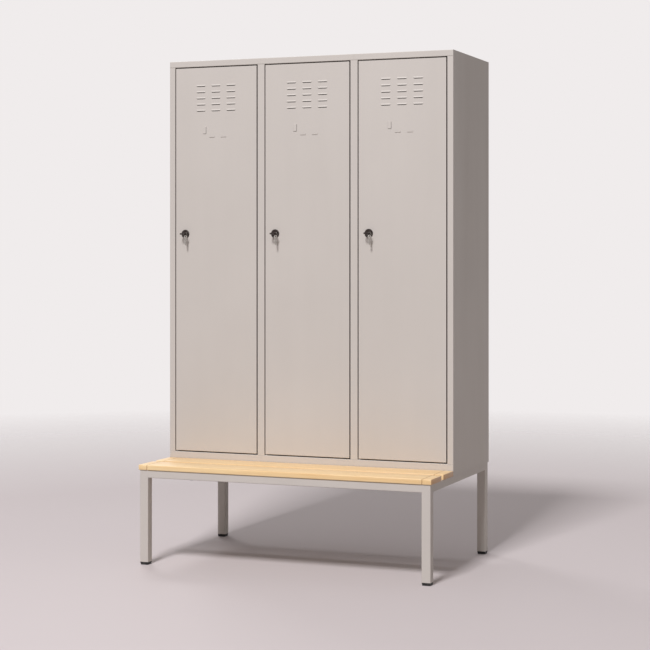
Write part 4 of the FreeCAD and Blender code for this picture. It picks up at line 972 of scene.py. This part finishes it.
def long_rail_ends():
    """Both ends of the front, middle and rear rails: name, place along X, and the rail's box."""
    for name in ("bench_front_rail", "bench_mid_rail", "bench_rear_rail"):
        low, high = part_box(name)
        yield name, low.x, low, high
        yield name, high.x, low, high


def weld_beads():
    """Beads under and behind the rails, where they meet the legs and each other."""
    values = shape()
    inset = values.tube_round
    radius = values.weld_radius
    bm = bmesh.new()
    for name, end, low, high in long_rail_ends():
        bead(bm, (end, low.y + inset, low.z), (end, high.y - inset, low.z), radius)
        inner = low.y if name == "bench_rear_rail" else high.y
        bead(bm, (end, inner, low.z + inset), (end, inner, high.z - inset), radius)
    low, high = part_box("bench_side_rails")
    rail_low, rail_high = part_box("bench_front_rail")
    size = rail_high.y - rail_low.y
    for end in (low.y, high.y):
        for outer, inner in ((low.x, low.x + size), (high.x, high.x - size)):
            bead(bm, (min(outer, inner) + inset, end, low.z), (max(outer, inner) - inset, end, low.z), radius)
            bead(bm, (inner, end, low.z + inset), (inner, end, high.z - inset), radius)
    piece_from_mesh("weld_beads", mesh_from_bmesh(bm), "powder_coat", "carcass")


def flush_block(bm, low, high, run, side, outer):
    """A block whose lower outer edge is rounded: the axis of that edge, the axis it faces and its place."""
    width = shape().tube_round
    edges = add_block(bm, low, high)
    lower = [edge for edge in edges if runs_along(edge, run)
             and abs(edge.verts[0].co[side] - outer) < SAME_PLACE and edge.verts[0].co.z < high[2] - width]
    ease(bm, lower, width * FLUSH_SHARE, FLUSH_STEPS)


def ground_welds():
    """Welds ground flush on the outer faces, where a rail meets a leg of the same width."""
    width = shape().tube_round
    bm = bmesh.new()
    for name, end, low, high in long_rail_ends():
        if name == "bench_mid_rail":
            continue
        leg_side = end - width if end < 0 else end + width
        front = name == "bench_front_rail"
        near, far = (low.y, low.y + width) if front else (high.y - width, high.y)
        flush_block(bm, (min(end, leg_side), near, low.z), (max(end, leg_side), far, high.z),
                    run=0, side=1, outer=near if front else far)
    low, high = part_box("bench_side_rails")
    for end, leg_side in ((low.y, low.y - width), (high.y, high.y + width)):
        for outer, inner in ((low.x, low.x + width), (high.x, high.x - width)):
            flush_block(bm, (min(outer, inner), min(end, leg_side), low.z),
                        (max(outer, inner), max(end, leg_side), high.z), run=1, side=0, outer=outer)
    piece_from_mesh("ground_welds", mesh_from_bmesh(bm), "powder_coat", "carcass")


class LOCKER_OT_bench(Operator):
    """Paint the bench frame, finish its glides and fasteners, and model its welds"""

    bl_idname = "locker.bench"
    bl_label = "Bench frame"

    def execute(self, context):
        paint(("bench_front_rail", "bench_rear_rail", "bench_mid_rail", "bench_side_rails",
               "bench_cross_bars", "bench_legs"), "powder_coat")
        paint(("leg_glides",), "glide_plastic")
        paint(("bench_fasteners",), "zinc_steel")
        weld_beads()
        ground_welds()
        return {"FINISHED"}


class LOCKER_OT_inside(Operator):
    """Finish the shelves, coat rails and hooks inside the bays"""

    bl_idname = "locker.inside"
    bl_label = "Inside of the bays"

    def execute(self, context):
        for bay in BAYS:
            paint((f"hat_shelf_{bay}",), "powder_coat")
            paint((f"coat_rail_{bay}",), "rail_steel")
            paint((f"coat_hook_{bay}_left", f"coat_hook_{bay}_right"), "hook_plastic")
        return {"FINISHED"}


# Stage
FLOOR_SEGMENTS = 96
FLOOR_ROUGHNESS = 0.6
FLOOR_GLOSS = 0.2
FAR_CLIP = 100.0


class LOCKER_OT_stage(Operator):
    """Set up the floor, the even light, the lamps and the camera"""

    bl_idname = "locker.stage"
    bl_label = "Stage"

    def execute(self, context):
        values = context.scene.locker_stage
        make_floor(values)
        make_world(values)
        make_lamp("key_lamp", values.lamp_place, values.lamp_target, values.lamp_size, values.key_power)
        make_lamp("back_lamp", values.back_place, values.back_target, values.back_size, values.back_power)
        make_camera(values)
        context.scene.view_settings.view_transform = "Standard"
        return {"FINISHED"}


def seen(tree):
    """1 for rays from the camera and for those that mirrors and glass send on, 0 for the rest."""
    path = tree.nodes.new("ShaderNodeLightPath").outputs
    sent_on = reckon(tree, "MAXIMUM", path["Is Glossy Ray"], path["Is Transmission Ray"])
    return reckon(tree, "MAXIMUM", path["Is Camera Ray"], sent_on)


def make_floor(values):
    """A pale disc that fades into the backdrop, so that it has no edge."""
    bm = bmesh.new()
    bmesh.ops.create_circle(bm, cap_ends=True, segments=FLOOR_SEGMENTS, radius=values.floor_radius)
    mesh = bpy.data.meshes.new("floor")
    bm.to_mesh(mesh)
    bm.free()
    floor = bpy.data.objects.new("floor", mesh)
    bpy.context.scene.collection.objects.link(floor)
    pale, tree, surface, place = new_material("pale_floor")
    surface.inputs["Roughness"].default_value = FLOOR_ROUGHNESS
    surface.inputs["Specular IOR Level"].default_value = FLOOR_GLOSS
    tone = swing(tree, cloud(tree, place, scale=3.0, detail=4.0), high=0.06)
    colour = blend_colour(tree, seen(tree), with_alpha(values.floor_bounce), with_alpha(values.floor_colour))
    darker = tinted(tree, colour, (0.9, 0.9, 0.9))
    fill(tree, surface.inputs["Base Color"], blend_colour(tree, tone, colour, darker))
    reach = add(tree, "VectorMath", {0: place}, operation="LENGTH").outputs["Value"]
    fade = spread(tree, reach, start=values.fade_start, stop=values.fade_end)
    clear = add(tree, "BsdfTransparent")
    mixed = add(tree, "MixShader", {0: fade, 1: surface.outputs["BSDF"], 2: clear.outputs["BSDF"]})
    output = next(item for item in tree.nodes if item.type == "OUTPUT_MATERIAL")
    fill(tree, output.inputs["Surface"], mixed.outputs[0])
    mesh.materials.append(pale)


def make_world(values):
    """Even light, with a pale backdrop for the camera, mirrors and glass."""
    world = bpy.data.worlds.new("studio")
    bpy.context.scene.world = world
    world.use_nodes = True
    tree = world.node_tree
    tree.nodes.clear()
    light = add(tree, "Background", {"Color": with_alpha(values.room_colour), "Strength": values.room_light})
    backdrop = add(tree, "Background", {"Color": with_alpha(values.backdrop_colour), "Strength": 1.0})
    mixed = add(tree, "MixShader", {0: seen(tree), 1: light.outputs[0], 2: backdrop.outputs[0]})
    output = tree.nodes.new("ShaderNodeOutputWorld")
    fill(tree, output.inputs["Surface"], mixed.outputs[0])


def make_lamp(name, place, target, size, power):
    """A square lamp that points at a target."""
    data = bpy.data.lights.new(name, "AREA")
    data.shape = "SQUARE"
    data.size = size
    data.energy = power
    lamp = bpy.data.objects.new(name, data)
    lamp.location = place
    lamp.rotation_euler = (Vector(target) - Vector(place)).to_track_quat("-Z", "Y").to_euler()
    bpy.context.scene.collection.objects.link(lamp)


def make_camera(values):
    """A level camera, its picture shifted as the photo's framing needs."""
    data = bpy.data.cameras.new("photo_camera")
    data.lens = values.camera_lens
    data.shift_y = values.camera_shift
    data.clip_end = FAR_CLIP
    camera = bpy.data.objects.new("photo_camera", data)
    camera.location = values.camera_place
    camera.rotation_euler = (math.pi / 2, 0.0, values.camera_turn)
    bpy.context.scene.collection.objects.link(camera)
    bpy.context.scene.camera = camera


class LOCKER_PT_panel(Panel):
    """Lists the steps that dress the locker"""

    bl_idname = "LOCKER_PT_panel"
    bl_label = "Cloakroom Locker"
    bl_space_type = "VIEW_3D"
    bl_region_type = "UI"
    bl_category = "Locker"

    def draw(self, context):
        column = self.layout.column(align=True)
        for step in STEPS:
            column.operator(step.bl_idname)


STEPS = (LOCKER_OT_carcass, LOCKER_OT_doors, LOCKER_OT_locks, LOCKER_OT_seat, LOCKER_OT_bench,
         LOCKER_OT_inside, LOCKER_OT_stage)
SETTINGS = {"locker_finish": LockerFinish, "locker_shape": LockerShape, "locker_stage": LockerStage}


def register():
    for group in SETTINGS.values():
        bpy.utils.register_class(group)
    for name, group in SETTINGS.items():
        setattr(bpy.types.Scene, name, PointerProperty(type=group))
    for step in STEPS:
        bpy.utils.register_class(step)
    bpy.utils.register_class(LOCKER_PT_panel)


def unregister():
    bpy.utils.unregister_class(LOCKER_PT_panel)
    for step in reversed(STEPS):
        bpy.utils.unregister_class(step)
    for name in SETTINGS:
        delattr(bpy.types.Scene, name)
    for group in SETTINGS.values():
        bpy.utils.unregister_class(group)


def main():
    register()
    for step in STEPS:
        area, name = step.bl_idname.split(".")
        getattr(getattr(bpy.ops, area), name)()


if __name__ == "__main__":
    main()
